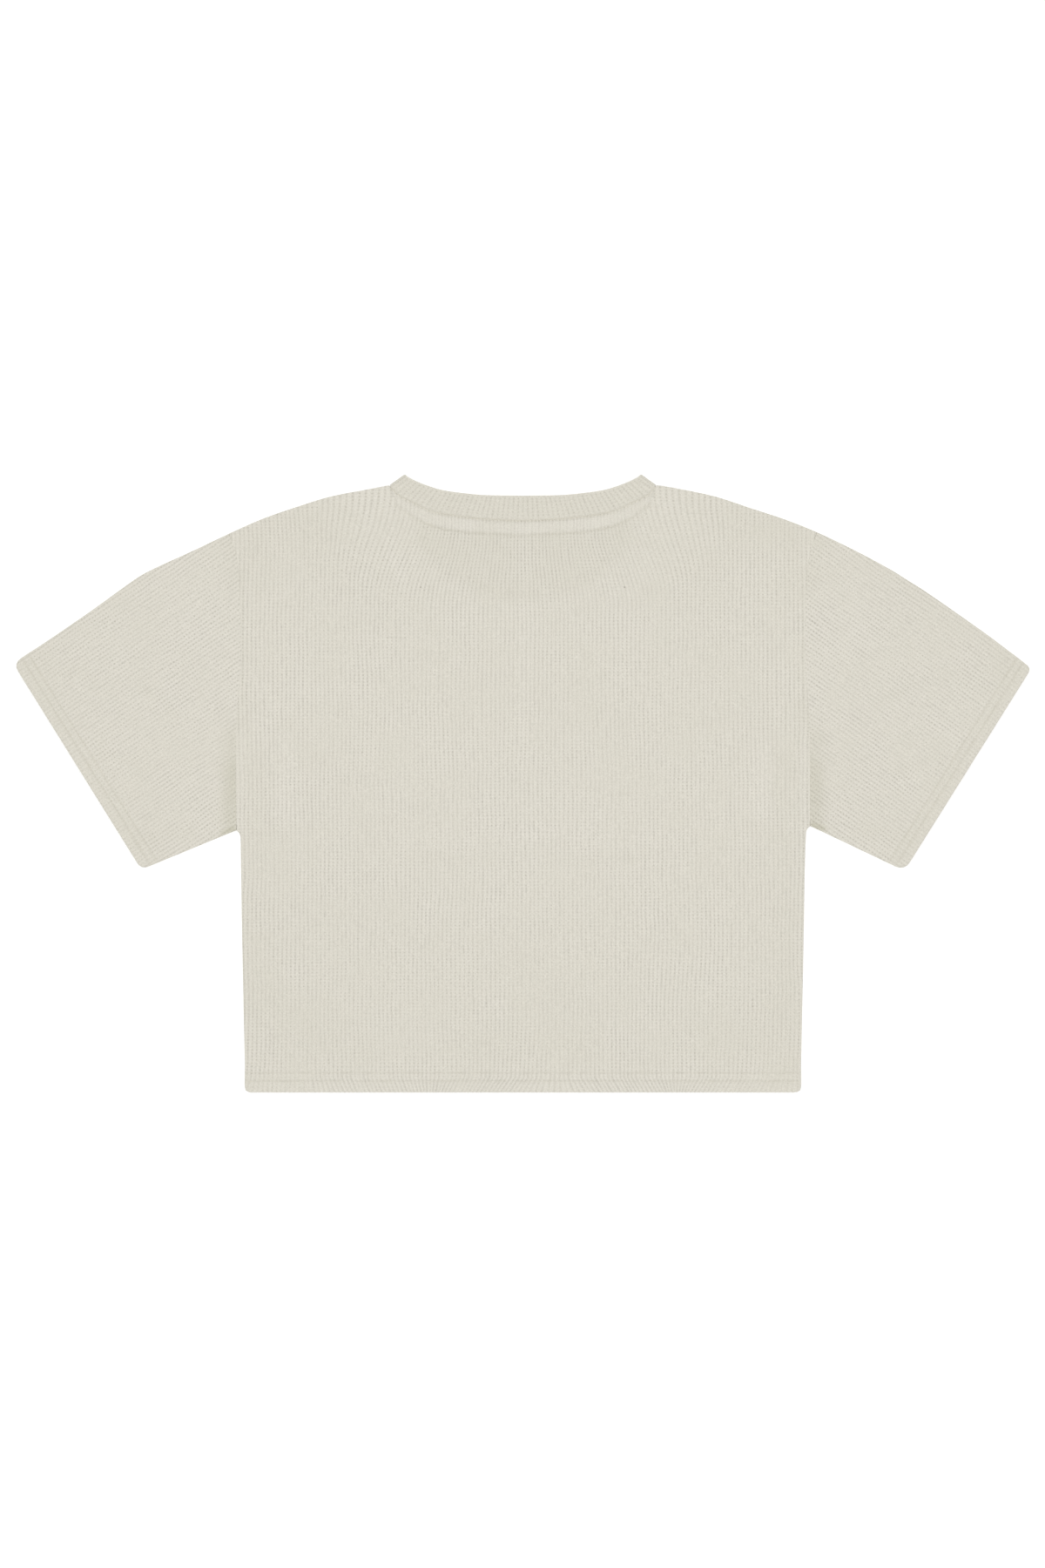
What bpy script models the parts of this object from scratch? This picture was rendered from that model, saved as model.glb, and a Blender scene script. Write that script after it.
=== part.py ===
"""A cropped waffle-knit t-shirt, laid flat with its back up.

Metres, +Z up, +Y towards the neck, +X towards the wearer's right. The origin is on the surface that
the shirt lies on, below the middle of its outline. Each cut piece is a closed wall of cloth: the
front panel lies lowest, the back panel lies on it, each sleeve is a flattened tube, and the neck
band is one folded strip sewn into a ring.
"""

from collections import namedtuple
from math import cos, hypot, pi, radians, sin, sqrt

import bmesh
import bpy

MM = 0.001
LEFT, RIGHT = -1, 1  # the wearer's sides, as the sign of x

# Cloth
CLOTH = 1.4 * MM  # one layer of waffle knit
GAP = 0.3 * MM  # between pieces, and between layers that touch
LOFT = 1.2 * MM  # air under the upper layer, away from the edges
LOFT_REACH = 26 * MM  # from a closed edge to where the loft is full
RIM = 1.2 * MM  # width of the rounding along every cut or folded edge
EDGE_DROP = 0.8 * MM  # how far that rounding falls at a closed edge
SEAM_DROP = 0.5 * MM  # and how far it falls into a seam

# Hems, turned up inside and stitched
HEM_DEPTH = 17 * MM
HEM_STEP = 1.2 * MM  # the raw edge of the turned-up cloth
HEM_FADE = 8 * MM  # over which the outer layer comes down from the hem

# Folded edges of the sleeves
FOLD_ROUND = 1.6 * MM  # how far the outside of the fold rounds in from the outline
SLIT_END = 2 * MM  # from the outline to the end of the slit between the two layers
SLIT_ROUND = 1.4 * MM  # and how far that end rounds in

# Body, half outlines in millimetres
HEM_Y = -251.7
HEM_CORNER = 3.5  # radius where hem and side seam meet
Height = namedtuple("Height", "out left right")  # distance from the centre line, height on each side
TOP_LINE = (  # shoulder, then the folded upper edge of the sleeve
    Height(109.6, 243.0, 243.2),
    Height(128.0, 239.6, 240.2),
    Height(157.0, 234.0, 234.0),
    Height(185.0, 225.4, 224.8),
    Height(213.0, 215.6, 215.6),
    Height(239.6, 203.8, 205.0),  # the armhole seam
    Height(270.0, 189.4, 190.5),
    Height(299.0, 176.2, 175.0),
    Height(313.0, 168.8, 166.3),
    Height(327.0, 159.0, 157.5),
    Height(355.0, 138.9, 138.2),
    Height(384.0, 119.0, 117.5),
)
SHOULDER_ROWS = 6  # rows of TOP_LINE that belong to the panels; the sleeve starts at the last
Across = namedtuple("Across", "out height")
ARMHOLE = (
    Across(232.5, 179.0),
    Across(230.4, 140.0),
    Across(229.7, 101.0),
    Across(232.0, 74.0),
    Across(233.8, 33.0),
    Across(234.0, -10.0),
)
SIDE_SEAM = (
    Across(230.8, -48.0),
    Across(229.0, -125.0),
    Across(226.8, -231.0),
)
Sleeve = namedtuple("Sleeve", "tip corner underarm tip_round corner_round")
SLEEVES = {  # sharp corners of the outline, and the radii that round them
    LEFT: Sleeve((415.5, 98.0), (311.0, -70.0), (233.6, -38.0), 7.0, 6.0),
    RIGHT: Sleeve((414.4, 94.0), (311.0, -71.0), (234.2, -34.5), 4.0, 8.0),
}

# Neck, half outlines in millimetres
BACK_SEAM = (  # where the band is sewn to the back panel
    Across(0.0, 214.2),
    Across(30.0, 215.6),
    Across(60.0, 219.0),
    Across(75.0, 222.4),
    Across(88.0, 228.2),
    Across(100.0, 233.9),
)
BACK_EDGE = (  # the band's folded free edge at the back
    Across(0.0, 234.8),
    Across(30.0, 235.2),
    Across(50.0, 237.0),
    Across(65.0, 239.2),
    Across(76.0, 242.2),
    Across(86.0, 245.8),
)
FRONT_SEAM = (
    Across(0.0, 122.5),
    Across(33.0, 127.0),
    Across(62.0, 140.0),
    Across(84.0, 155.0),
    Across(99.0, 170.0),
    Across(107.5, 188.0),
    Across(110.5, 208.0),
    Across(109.6, 228.0),
)
FRONT_EDGE = (
    Across(0.0, 141.5),
    Across(28.0, 145.5),
    Across(54.0, 157.0),
    Across(75.0, 173.0),
    Across(89.0, 189.0),
    Across(94.6, 205.0),
    Across(95.2, 226.0),
)
FOLD_SEAM = Across(109.0, 243.0)  # the band folds over the shoulder along the line between these
FOLD_EDGE = Across(96.0, 252.4)
TOPSTITCH = (  # lower edge of the raised strip of back panel, over the seam allowance
    Across(0.0, 202.2),
    Across(33.0, 204.0),
    Across(56.0, 206.2),
    Across(75.0, 210.4),
    Across(90.0, 217.4),
    Across(103.0, 226.6),
)
STRIP_RAISE = 1.0 * MM
HOLE_FLOOR = 0.4 * MM  # the back panel sinks to the table inside the front neckline
BAND_HALF = 9.5 * MM  # half the width of the front band
BAND_CLEAR = 2 * MM  # from the front band to where the back panel starts to come down
BAND_SLOPE = 13 * MM  # and to where it is down
BAND_CROWN = 0.1  # how far the band swells in the middle, as a share of CLOTH
BAND_CLIMB = (66 * MM, 90 * MM)  # where the back of the band climbs onto its front

# Folds of the upper layer: a soft ridge, or a trough if its height is negative
FOLD_REACH = 2.2  # how many times its width a fold reaches to each side
Fold = namedtuple("Fold", "x1 y1 x2 y2 width height")
FOLDS = (
    Fold(-178, 66, 0, 12, 11, 0.7),  # shallow V across the back
    Fold(178, 66, 0, 12, 11, 0.7),
    Fold(0, 92, 0, 30, 13, 0.8),  # centre back
    Fold(-196, 24, -197, -22, 12, 1.1),  # down from the armholes
    Fold(196, 24, 197, -22, 12, 1.1),
    Fold(-157, -14, -161, -62, 10, 0.8),
    Fold(157, -14, 161, -62, 10, 0.8),
    Fold(-60, -197, 60, -197, 13, -0.7),  # above the hem
    Fold(-118, -188, -66, -188, 14, 0.6),
    Fold(118, -188, 66, -188, 14, 0.6),
    Fold(-318, 86, -284, 58, 9, -0.8),  # sleeves
    Fold(318, 80, 286, 62, 9, -0.8),
    Fold(-342, 22, -312, 12, 9, -0.7),
    Fold(340, 20, 308, 10, 9, -0.7),
    Fold(-330, -44, -250, -26, 9, -0.8),
    Fold(328, -46, 250, -24, 9, -0.8),
    Fold(-241, 22, -240, -36, 9, -1.0),  # sleeve dips beside the underarm
    Fold(241, 22, 240, -34, 9, -1.0),
)

# Fineness of the meshes
BACK_GRID = 19 * MM
NECK_REACH = 134 * MM  # finer cells this far from the centre line
NECK_LOW = 104 * MM  # and above this height, on the back panel
SHOULDER_LOW = 210 * MM  # or above this one, on the front panel
FRONT_GRID = 38 * MM
CURVE_STEPS = 3  # points from one table row to the next
SLEEVE_SECTIONS = 8
SLEEVE_ACROSS = 11
BACK_STATIONS = 28
FRONT_STATIONS = 34
FOLD_ANGLES = (0, 45, 90, 135, 180)

KNIT_COLOUR = (0.70, 0.675, 0.595, 1.0)
SEAM_KINDS = ("armhole", "neck")


# ---- Curves ----


def smooth(points, steps=CURVE_STEPS):
    """Points on a Catmull-Rom curve through the given ones, with so many steps between each two."""
    ends = (
        [2 * a - b for a, b in zip(points[0], points[1])],
        [2 * a - b for a, b in zip(points[-1], points[-2])],
    )
    run = [ends[0], *points, ends[1]]
    curve = []
    for p0, p1, p2, p3 in zip(run, run[1:], run[2:], run[3:]):
        for step in range(steps):
            t = step / steps
            curve.append(
                tuple(
                    b
                    + 0.5 * t * (c - a + t * (2 * a - 5 * b + 4 * c - d + t * (3 * (b - c) + d - a)))
                    for a, b, c, d in zip(p0, p1, p2, p3)
                )
            )
    return curve + [tuple(points[-1])]


def lengths(line):
    """How far along the line each of its points is."""
    along = [0.0]
    for (x1, y1), (x2, y2) in zip(line, line[1:]):
        along.append(along[-1] + hypot(x2 - x1, y2 - y1))
    return along


def point_at(line, share):
    """The point at that share of the line's length."""
    along = lengths(line)
    want = min(max(share, 0.0), 1.0) * along[-1]
    for p, q, start, end in zip(line, line[1:], along, along[1:]):
        if want <= end:
            t = (want - start) / (end - start)
            return (p[0] + t * (q[0] - p[0]), p[1] + t * (q[1] - p[1]))
    return line[-1]


def from_mm(points, side=RIGHT):
    """Half-outline points in metres, on one side of the centre line."""
    return [(side * out * MM, height * MM) for out, height in points]


def both_sides(half):
    """A half curve from the centre line outwards, as one curve from the left end to the right."""
    return [(-x, y) for x, y in reversed(half)] + half[1:]


def offset(line, distance):
    """The line moved to its right-hand side, seen along its own direction."""
    moved = []
    for i, (x, y) in enumerate(line):
        (x1, y1), (x2, y2) = line[max(i - 1, 0)], line[min(i + 1, len(line) - 1)]
        size = hypot(x2 - x1, y2 - y1)
        moved.append((x + distance * (y2 - y1) / size, y - distance * (x2 - x1) / size))
    return moved


def to_segment(p, a, b):
    """Distance from p to the segment."""
    dx, dy = b[0] - a[0], b[1] - a[1]
    t = ((p[0] - a[0]) * dx + (p[1] - a[1]) * dy) / (dx * dx + dy * dy)
    t = min(max(t, 0.0), 1.0)
    return hypot(p[0] - a[0] - t * dx, p[1] - a[1] - t * dy)


def to_line(p, line):
    return min(to_segment(p, a, b) for a, b in zip(line, line[1:]))


def inside(p, loop):
    """Whether p is inside the closed loop, by counting the edges to its right."""
    within = False
    for (x1, y1), (x2, y2) in zip(loop, loop[1:] + loop[:1]):
        if (y1 > p[1]) != (y2 > p[1]) and p[0] < x1 + (p[1] - y1) * (x2 - x1) / (y2 - y1):
            within = not within
    return within


def ease(x, start, end):
    """0 before start and 1 after end, with a smooth rise between them."""
    t = min(max((x - start) / (end - start), 0.0), 1.0)
    return t * t * (3 - 2 * t)


# ---- Outlines ----


def top_line(side):
    """The whole upper edge of one half, from the neck point to the sleeve's tip."""
    rows = [(r.out, r.left if side == LEFT else r.right) for r in TOP_LINE]
    return from_mm(smooth([*rows, SLEEVES[side].tip]), side)


def shoulder(side):
    return top_line(side)[: (SHOULDER_ROWS - 1) * CURVE_STEPS + 1]


def sleeve_top(side):
    return top_line(side)[(SHOULDER_ROWS - 1) * CURVE_STEPS :]


def armhole(side):
    """The armhole seam, from the shoulder down to the underarm."""
    x, y = shoulder(side)[-1]
    rows = [(abs(x) / MM, y / MM), *ARMHOLE, SLEEVES[side].underarm]
    return from_mm(smooth(rows, 2), side)


def side_seam(side):
    """From just below the underarm to the hem, with its rounded corner."""
    out = SIDE_SEAM[-1].out
    corner = [
        (out - HEM_CORNER * (1 - cos(a)), HEM_Y + HEM_CORNER * (1 - sin(a)))
        for a in (0, pi / 4, pi / 2)
    ]
    return from_mm([*smooth(SIDE_SEAM, 2), *corner], side)


def fold_line():
    """The right shoulder fold of the neck band: its seam end, its free end and the way out."""
    (sx, sy), (ex, ey) = from_mm([FOLD_SEAM, FOLD_EDGE])
    size = hypot(sx - ex, sy - ey)
    out = ((ey - sy) / size, (sx - ex) / size)
    back = 2 * CLOTH + GAP / 2  # so that the outside of the fold reaches the outline
    return (
        (sx - back * out[0], sy - back * out[1]),
        (ex - back * out[0], ey - back * out[1]),
        out,
    )


FOLD_START, FOLD_END, FOLD_OUT = fold_line()


def neck_curve(rows, end):
    """A neck curve from the left fold to the right one."""
    half = smooth(from_mm(rows) + [end])
    return both_sides(half)


BACK_SEAM_LINE = neck_curve(BACK_SEAM, FOLD_START)
BACK_EDGE_LINE = neck_curve(BACK_EDGE, FOLD_END)
FRONT_SEAM_LINE = neck_curve(FRONT_SEAM, FOLD_START)
FRONT_EDGE_LINE = neck_curve(FRONT_EDGE, FOLD_END)
FRONT_MIDDLE = [
    tuple((a + b) / 2 for a, b in zip(point_at(FRONT_SEAM_LINE, t), point_at(FRONT_EDGE_LINE, t)))
    for t in (i / FRONT_STATIONS for i in range(FRONT_STATIONS + 1))
]


def panel_neck(seam_line):
    """The panel's own neck edge: clear of the band, and past its fold at each end."""
    right = from_mm([FOLD_SEAM])[0]
    whole = [(-right[0], right[1]), *seam_line, right]
    return offset(whole, GAP)


def panel_outline(neck_edge):
    """(points, kinds) of a panel, anticlockwise from the hem. A point's kind is the edge it starts."""
    points, kinds = [], []

    def add(line, kind):
        points.extend(line)
        kinds.extend([kind] * len(line))

    left_side, right_side = side_seam(LEFT), side_seam(RIGHT)
    add([left_side[-1], right_side[-1]], "hem")
    add(right_side[-2::-1], "closed")
    add(armhole(RIGHT)[:0:-1], "armhole")
    add(shoulder(RIGHT)[:0:-1], "closed")
    add(neck_edge[::-1], "neck")
    add(shoulder(LEFT)[1:], "closed")
    add(armhole(LEFT)[1:], "armhole")
    add(left_side[:-1], "closed")
    return points, kinds


def closed_edges():
    """The shirt's outline where its two layers meet: shoulders, sleeves and side seams."""
    lines = []
    for side in (LEFT, RIGHT):
        sleeve = SLEEVES[side]
        lines.append(top_line(side))
        lines.append(from_mm([sleeve.corner, sleeve.underarm, *SIDE_SEAM, (SIDE_SEAM[-1].out, HEM_Y)], side))
    return lines


CLOSED_EDGES = closed_edges()
NECK_HOLE = FRONT_MIDDLE + [FOLD_END, (-FOLD_END[0], FOLD_END[1])]


# ---- Heights ----


def fold_height(p):
    """The ridges and troughs of the upper layer at p, in metres."""
    total = 0.0
    for fold in FOLDS:
        a, b = (fold.x1 * MM, fold.y1 * MM), (fold.x2 * MM, fold.y2 * MM)
        away = to_segment(p, a, b)
        total += fold.height * MM * (1 - ease(away, 0, FOLD_REACH * fold.width * MM))
    return total


def from_closed_edge(p):
    return min(to_line(p, line) for line in CLOSED_EDGES)


def over_band(p):
    """1 over the front of the neck band, falling to 0 beside it."""
    return 1 - ease(to_line(p, FRONT_MIDDLE) - BAND_HALF, BAND_CLEAR, BAND_SLOPE)


def upper_floor(p):
    """The underside of the upper layer: over the front, over the front band, or sunk inside it."""
    edge = from_closed_edge(p)
    base = CLOTH + GAP + max(LOFT * ease(edge, 0, LOFT_REACH) + fold_height(p) * ease(edge, 0, RIM * 5), 0)
    rest = HOLE_FLOOR if inside(p, NECK_HOLE) else base
    return rest + (2 * (CLOTH + GAP) - rest) * over_band(p)


def hem_share(from_hem):
    """How much of the hem's extra thickness the outer layer shows, at that distance from the hem's edge."""
    return 1 - ease(from_hem, HEM_DEPTH, HEM_DEPTH + HEM_FADE)


def hem_floor(p, from_hem):
    """The underside of the upper layer at that distance from a hem, where it lies on the lower hem."""
    share = hem_share(from_hem)
    return upper_floor(p) * (1 - share) + (2 * CLOTH + GAP) * share


# ---- Panels ----


def rimmed(outline):
    """(all points, the rim's faces, the core) of an anticlockwise outline with a second loop inside it."""
    core = []
    for before, here, after in zip(outline[-1:] + outline[:-1], outline, outline[1:] + outline[:1]):
        (nx1, ny1), (nx2, ny2) = inward(before, here), inward(here, after)
        reach = RIM / (1 + nx1 * nx2 + ny1 * ny2)
        core.append((here[0] + reach * (nx1 + nx2), here[1] + reach * (ny1 + ny2)))
    count = len(outline)
    rim = [(i, (i + 1) % count, count + (i + 1) % count, count + i) for i in range(count)]
    return outline + core, rim, [count + i for i in range(count)]


def inward(start, end):
    """The unit normal to the left of an edge."""
    dx, dy = end[0] - start[0], end[1] - start[1]
    size = hypot(dx, dy)
    return -dy / size, dx / size


def cut_sheet(points, faces, pitch):
    """A flat sheet of those faces, each a tuple of indices into points, cut into cells."""
    sheet = bmesh.new()
    verts = [sheet.verts.new((x, y, 0)) for x, y in points]
    for face in faces:
        sheet.faces.new([verts[i] for i in face])
    half_width = max(x for x, _ in points)
    columns = int(half_width / pitch)
    for i in range(-columns, columns + 1):
        cut(sheet, (i * pitch, 0, 0), (1, 0, 0))
    hem = HEM_Y * MM
    top = max(y for _, y in points)
    rows = [hem + HEM_DEPTH, hem + HEM_DEPTH + HEM_STEP, hem + HEM_DEPTH + HEM_FADE]
    while rows[-1] + pitch < top:
        rows.append(rows[-1] + pitch)
    for y in rows:
        cut(sheet, (0, y, 0), (0, 1, 0))
    return sheet


def cut(sheet, point, normal, faces=None):
    """Splits the sheet, or only those of its faces, along an upright plane."""
    faces = sheet.faces[:] if faces is None else faces
    edges = {edge for face in faces for edge in face.edges}
    verts = {vert for face in faces for vert in face.verts}
    bmesh.ops.bisect_plane(
        sheet,
        geom=[*verts, *edges, *faces],
        plane_co=point,
        plane_no=normal,
        dist=0.05 * MM,
    )


def refine(sheet, reach, low):
    """Cuts the cells within that reach of the centre line, and above that height, to half a back cell."""
    pitch = BACK_GRID / 2

    def near():
        middles = ((face, face.calc_center_median()) for face in sheet.faces)
        return [face for face, middle in middles if abs(middle.x) < reach and middle.y > low]

    columns = int(reach / pitch)
    for i in range(-columns, columns + 1):
        cut(sheet, (i * pitch, 0, 0), (1, 0, 0), near())
    first = HEM_Y * MM + HEM_DEPTH + HEM_FADE
    for i in range(int((low - first) / pitch), int((low + 2 * reach - first) / pitch)):
        cut(sheet, (0, first + i * pitch, 0), (0, 1, 0), near())


def edge_kind(p, points, kinds):
    """The kind of the outline edge that p lies on."""
    nearest = min(
        range(len(points)),
        key=lambda i: to_segment(p, points[i], points[(i + 1) % len(points)]),
    )
    return kinds[nearest]


def thicken(sheet, lower, upper):
    """Turns the flat sheet into a closed wall between the two heights, each a function of a vertex."""
    heights = {v: (lower(v), upper(v)) for v in sheet.verts}
    made = bmesh.ops.extrude_face_region(sheet, geom=sheet.faces[:], use_keep_orig=True)
    raised = [g for g in made["geom"] if isinstance(g, bmesh.types.BMVert)]
    by_place = {(v.co.x, v.co.y): pair for v, pair in heights.items()}
    for v in raised:
        v.co.z = by_place[(v.co.x, v.co.y)][1]
    for v, pair in heights.items():
        v.co.z = pair[0]
    bmesh.ops.recalc_face_normals(sheet, faces=sheet.faces[:])


def front_panel():
    """The lower layer: flat underneath, with its hem turned up on top."""
    outline, kinds = panel_outline(panel_neck(FRONT_SEAM_LINE))
    points, rim, core = rimmed(outline)
    sheet = cut_sheet(points, [*rim, core], FRONT_GRID)
    refine(sheet, NECK_REACH, SHOULDER_LOW)

    def lift(p):
        """At the neck the two layers climb the band's fold together."""
        return (CLOTH + GAP) * over_band(p) * (1 - ease(from_closed_edge(p), 2 * RIM, 8 * RIM))

    def lower(v):
        if not v.is_boundary:
            return lift(v.co)
        kind = edge_kind(v.co, outline, kinds)
        return lift(v.co) + (SEAM_DROP if kind in SEAM_KINDS else EDGE_DROP)

    def upper(v):
        from_hem = v.co.y - HEM_Y * MM
        turned = CLOTH * (1 - ease(from_hem, HEM_DEPTH, HEM_DEPTH + HEM_STEP))
        on_hem = v.is_boundary and edge_kind(v.co, outline, kinds) == "hem"
        return lift(v.co) + CLOTH + turned - (EDGE_DROP if on_hem else 0)

    thicken(sheet, lower, upper)
    return finished("front_panel", sheet)


def strip_faces(points, core, neck_edge):
    """Parts the raised strip from the core: all points, faces, the strip's loop and its lower line."""
    outline = points[: len(core)]
    first = outline.index(neck_edge[-1])
    reach = TOPSTITCH[-1].out * MM
    span = [i for i in range(first, first + len(neck_edge)) if abs(outline[i][0]) < reach]
    seam = [core[i] for i in span]
    stitch_line = both_sides(from_mm(smooth(TOPSTITCH)))[::-1]
    points = list(points)
    stitched, middle = [], []
    for i, at in enumerate(seam):
        low = point_at(stitch_line, i / (len(seam) - 1))
        stitched.append(len(points))
        points.append(low)
        middle.append(len(points))
        points.append(tuple((a + b) / 2 for a, b in zip(low, points[at])))
    faces = [[*core[: span[0] + 1], middle[0], *stitched, middle[-1], *core[span[-1] :]]]
    for i in range(len(seam) - 1):
        faces.append((seam[i], seam[i + 1], middle[i + 1], middle[i]))
        faces.append((middle[i], middle[i + 1], stitched[i + 1], stitched[i]))
    loop = [points[i] for i in seam] + [points[i] for i in reversed(stitched)]
    return points, faces, loop, stitch_line


def back_panel():
    """The upper layer, seen in full from above."""
    neck_edge = panel_neck(BACK_SEAM_LINE)
    outline, kinds = panel_outline(neck_edge)
    points, rim, core = rimmed(outline)
    points, faces, strip_loop, stitch_line = strip_faces(points, core, neck_edge)
    sheet = cut_sheet(points, rim + faces, BACK_GRID)
    refine(sheet, NECK_REACH, NECK_LOW)
    layer = CLOTH + GAP  # heights are measured from here

    def kind_of(v):
        return edge_kind(v.co, outline, kinds) if v.is_boundary else None

    def lower(v):
        floor = hem_floor(v.co, v.co.y - HEM_Y * MM)
        return floor - layer + (EDGE_DROP if kind_of(v) == "hem" else 0)

    def upper(v):
        from_hem = v.co.y - HEM_Y * MM
        kind = kind_of(v)
        drop = 0 if kind is None else SEAM_DROP if kind in SEAM_KINDS else EDGE_DROP
        thickness = CLOTH * (1 + hem_share(from_hem)) + strip_raise(v.co)
        return hem_floor(v.co, from_hem) - layer + thickness - drop

    def strip_raise(p):
        if not inside(p, strip_loop):
            return 0.0
        to_seam, to_stitch = to_line(p, neck_edge), to_line(p, stitch_line)
        return STRIP_RAISE * sqrt(sin(pi * to_seam / (to_seam + to_stitch)))

    thicken(sheet, lower, upper)
    return finished("back_panel", sheet, (0, 0, layer))


# ---- Sleeves ----


def sleeve_sections(side):
    """(distance from the hem, underarm point, top point) of each section, from armhole to hem."""
    top, sleeve = sleeve_top(side), SLEEVES[side]
    under = from_mm([sleeve.underarm, sleeve.corner], side)
    top_length, under_length = lengths(top)[-1], lengths(under)[-1]
    near_hem = [HEM_DEPTH + HEM_FADE, HEM_DEPTH + HEM_STEP, HEM_DEPTH, 3 * RIM, RIM, 0.0]
    rows = []
    for i in range(SLEEVE_SECTIONS):
        share = i / SLEEVE_SECTIONS
        rows.append((None, share * (1 - near_hem[0] / under_length), share * (1 - near_hem[0] / top_length)))
    for back in near_hem:
        rows.append((back, 1 - back / under_length, 1 - back / top_length))
    return [
        ((1 - b) * top_length if back is None else back, point_at(under, a), point_at(top, b))
        for back, a, b in rows
    ]


def corner_inset(from_hem, radius):
    """How far a rounded corner pulls the outline in, at that distance from the hem."""
    if from_hem >= radius:
        return 0.0
    return radius - sqrt(radius**2 - (radius - from_hem) ** 2)


def armhole_bow(side, across):
    """How far the armhole curve stands off the straight line from underarm to shoulder."""
    curve = armhole(side)[::-1]
    x, y = point_at(curve, across)
    (x1, y1), (x2, y2) = curve[0], curve[-1]
    return x - x1 - across * (x2 - x1), y - y1 - across * (y2 - y1)


def sleeve_ring(side, index, section):
    """The outer and inner loops of one section, as points."""
    from_hem, (ux, uy), (tx, ty) = section
    width = hypot(tx - ux, ty - uy)
    at_hem = ease(HEM_DEPTH + HEM_STEP - from_hem, 0, HEM_STEP)
    layers = 1 + hem_share(from_hem)
    fade = max(1 - index / SLEEVE_SECTIONS, 0) ** 2
    end_drop = EDGE_DROP if from_hem == 0 else SEAM_DROP if index == 0 else 0
    inner_drop = end_drop if from_hem == 0 else 0
    start = corner_inset(from_hem, SLEEVES[side].corner_round * MM)
    end = width - corner_inset(from_hem, SLEEVES[side].tip_round * MM)

    def place(along):
        across = along / width
        bow_x, bow_y = armhole_bow(side, across) if fade else (0, 0)
        x = ux + across * (tx - ux) + fade * bow_x + side * GAP * (index == 0)
        return x, uy + across * (ty - uy) + fade * bow_y

    def loop(inset, rounding, bottom, top):
        """Bottom layer from underarm to top edge, the fold, the top layer back, and the underarm."""
        edge = inset + rounding
        length = end - start - 2 * edge
        steps = [start + edge + length * i / SLEEVE_ACROSS for i in range(SLEEVE_ACROSS + 1)]
        low = [(*place(s), bottom(place(s))) for s in steps]
        high = [(*place(s), top(place(s))) for s in steps]
        turns = [radians(a) for a in (-45, 0, 45)]
        mid_end, half_end = (low[-1][2] + high[-1][2]) / 2, (high[-1][2] - low[-1][2]) / 2
        mid_start, half_start = (low[0][2] + high[0][2]) / 2, (high[0][2] - low[0][2]) / 2
        fold = [(*place(end - edge + rounding * cos(a)), mid_end + half_end * sin(a)) for a in turns]
        seam = [(*place(start + edge - rounding * cos(a)), mid_start - half_start * sin(a)) for a in turns]
        return low + fold + high[::-1] + seam

    outer = loop(
        0,
        FOLD_ROUND,
        lambda p: end_drop,
        lambda p: hem_floor(p, from_hem) + CLOTH * layers - end_drop,
    )
    inner = loop(
        SLIT_END,
        SLIT_ROUND,
        lambda p: CLOTH * (1 + at_hem) - inner_drop,
        lambda p: hem_floor(p, from_hem) + inner_drop,
    )
    return outer, inner


def sleeve(side, name):
    """One flattened tube of cloth, open at the armhole and at the hem."""
    bm = bmesh.new()
    rings = []
    for index, section in enumerate(sleeve_sections(side)):
        loops = sleeve_ring(side, index, section)
        rings.append([[bm.verts.new(p) for p in loop] for loop in loops])
    for ring, following in zip(rings, rings[1:]):
        for loop, after in zip(ring, following):
            join(bm, loop, after)
    for ring in (rings[0], rings[-1]):
        join(bm, *ring)
    bmesh.ops.recalc_face_normals(bm, faces=bm.faces[:])
    return finished(name, bm)


def join(bm, loop, other):
    """A band of faces between two closed loops of as many points."""
    for i in range(len(loop)):
        j = (i + 1) % len(loop)
        bm.faces.new((loop[i], loop[j], other[j], other[i]))


# ---- Neck band ----

Station = namedtuple("Station", "seam edge turn side")  # turn: 0 on the back, 180 on the front
BAND_PROFILE = (  # share of the way from the seam to the free edge, and height in layers of cloth
    (0.0, 0.6),
    (0.08, 1.0),
    (0.5, 1.0 + BAND_CROWN),
    (0.88, 1.0),
    (0.97, 0.6),
    (1.0, 0.0),
    (0.97, -0.6),
    (0.88, -1.0),
    (0.5, -1.0),
    (0.0, -1.0),
)


def band_stations():
    """Round the ring: along the back, over the right shoulder, back along the front, over the left."""
    stations = []
    for seam, edge, count, turn in (
        (BACK_SEAM_LINE, BACK_EDGE_LINE, BACK_STATIONS, 0),
        (FRONT_SEAM_LINE[::-1], FRONT_EDGE_LINE[::-1], FRONT_STATIONS, 180),
    ):
        for i in range(count + 1):
            stations.append(Station(point_at(seam, i / count), point_at(edge, i / count), turn, None))
        side = RIGHT if turn == 0 else LEFT
        turns = FOLD_ANGLES[1:-1] if turn == 0 else FOLD_ANGLES[-2:0:-1]
        for angle in turns:
            fold = [(side * x, y) for x, y in (FOLD_START, FOLD_END)]
            stations.append(Station(*fold, angle, side))
    return stations


def back_band_lift(x):
    """The back of the band lies on the table, and climbs onto the front of the band at each shoulder."""
    return GAP + 2 * CLOTH * ease(abs(x), *BAND_CLIMB)


def band_point(station, across, layers):
    """One point of a station's section."""
    x, y = (a + across * (b - a) for a, b in zip(station.seam, station.edge))
    if station.side is None and station.turn == 0:
        return x, y, back_band_lift(x) + CLOTH * (1 + layers)
    if station.side is None:
        return x, y, max(CLOTH * (1 - layers), 0)
    centre, turn = 2 * CLOTH + GAP / 2, radians(station.turn)
    radius = CLOTH + GAP / 2 + CLOTH * min(layers, 1)
    out = radius * sin(turn)
    return x + out * station.side * FOLD_OUT[0], y + out * FOLD_OUT[1], centre + radius * cos(turn)


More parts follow.
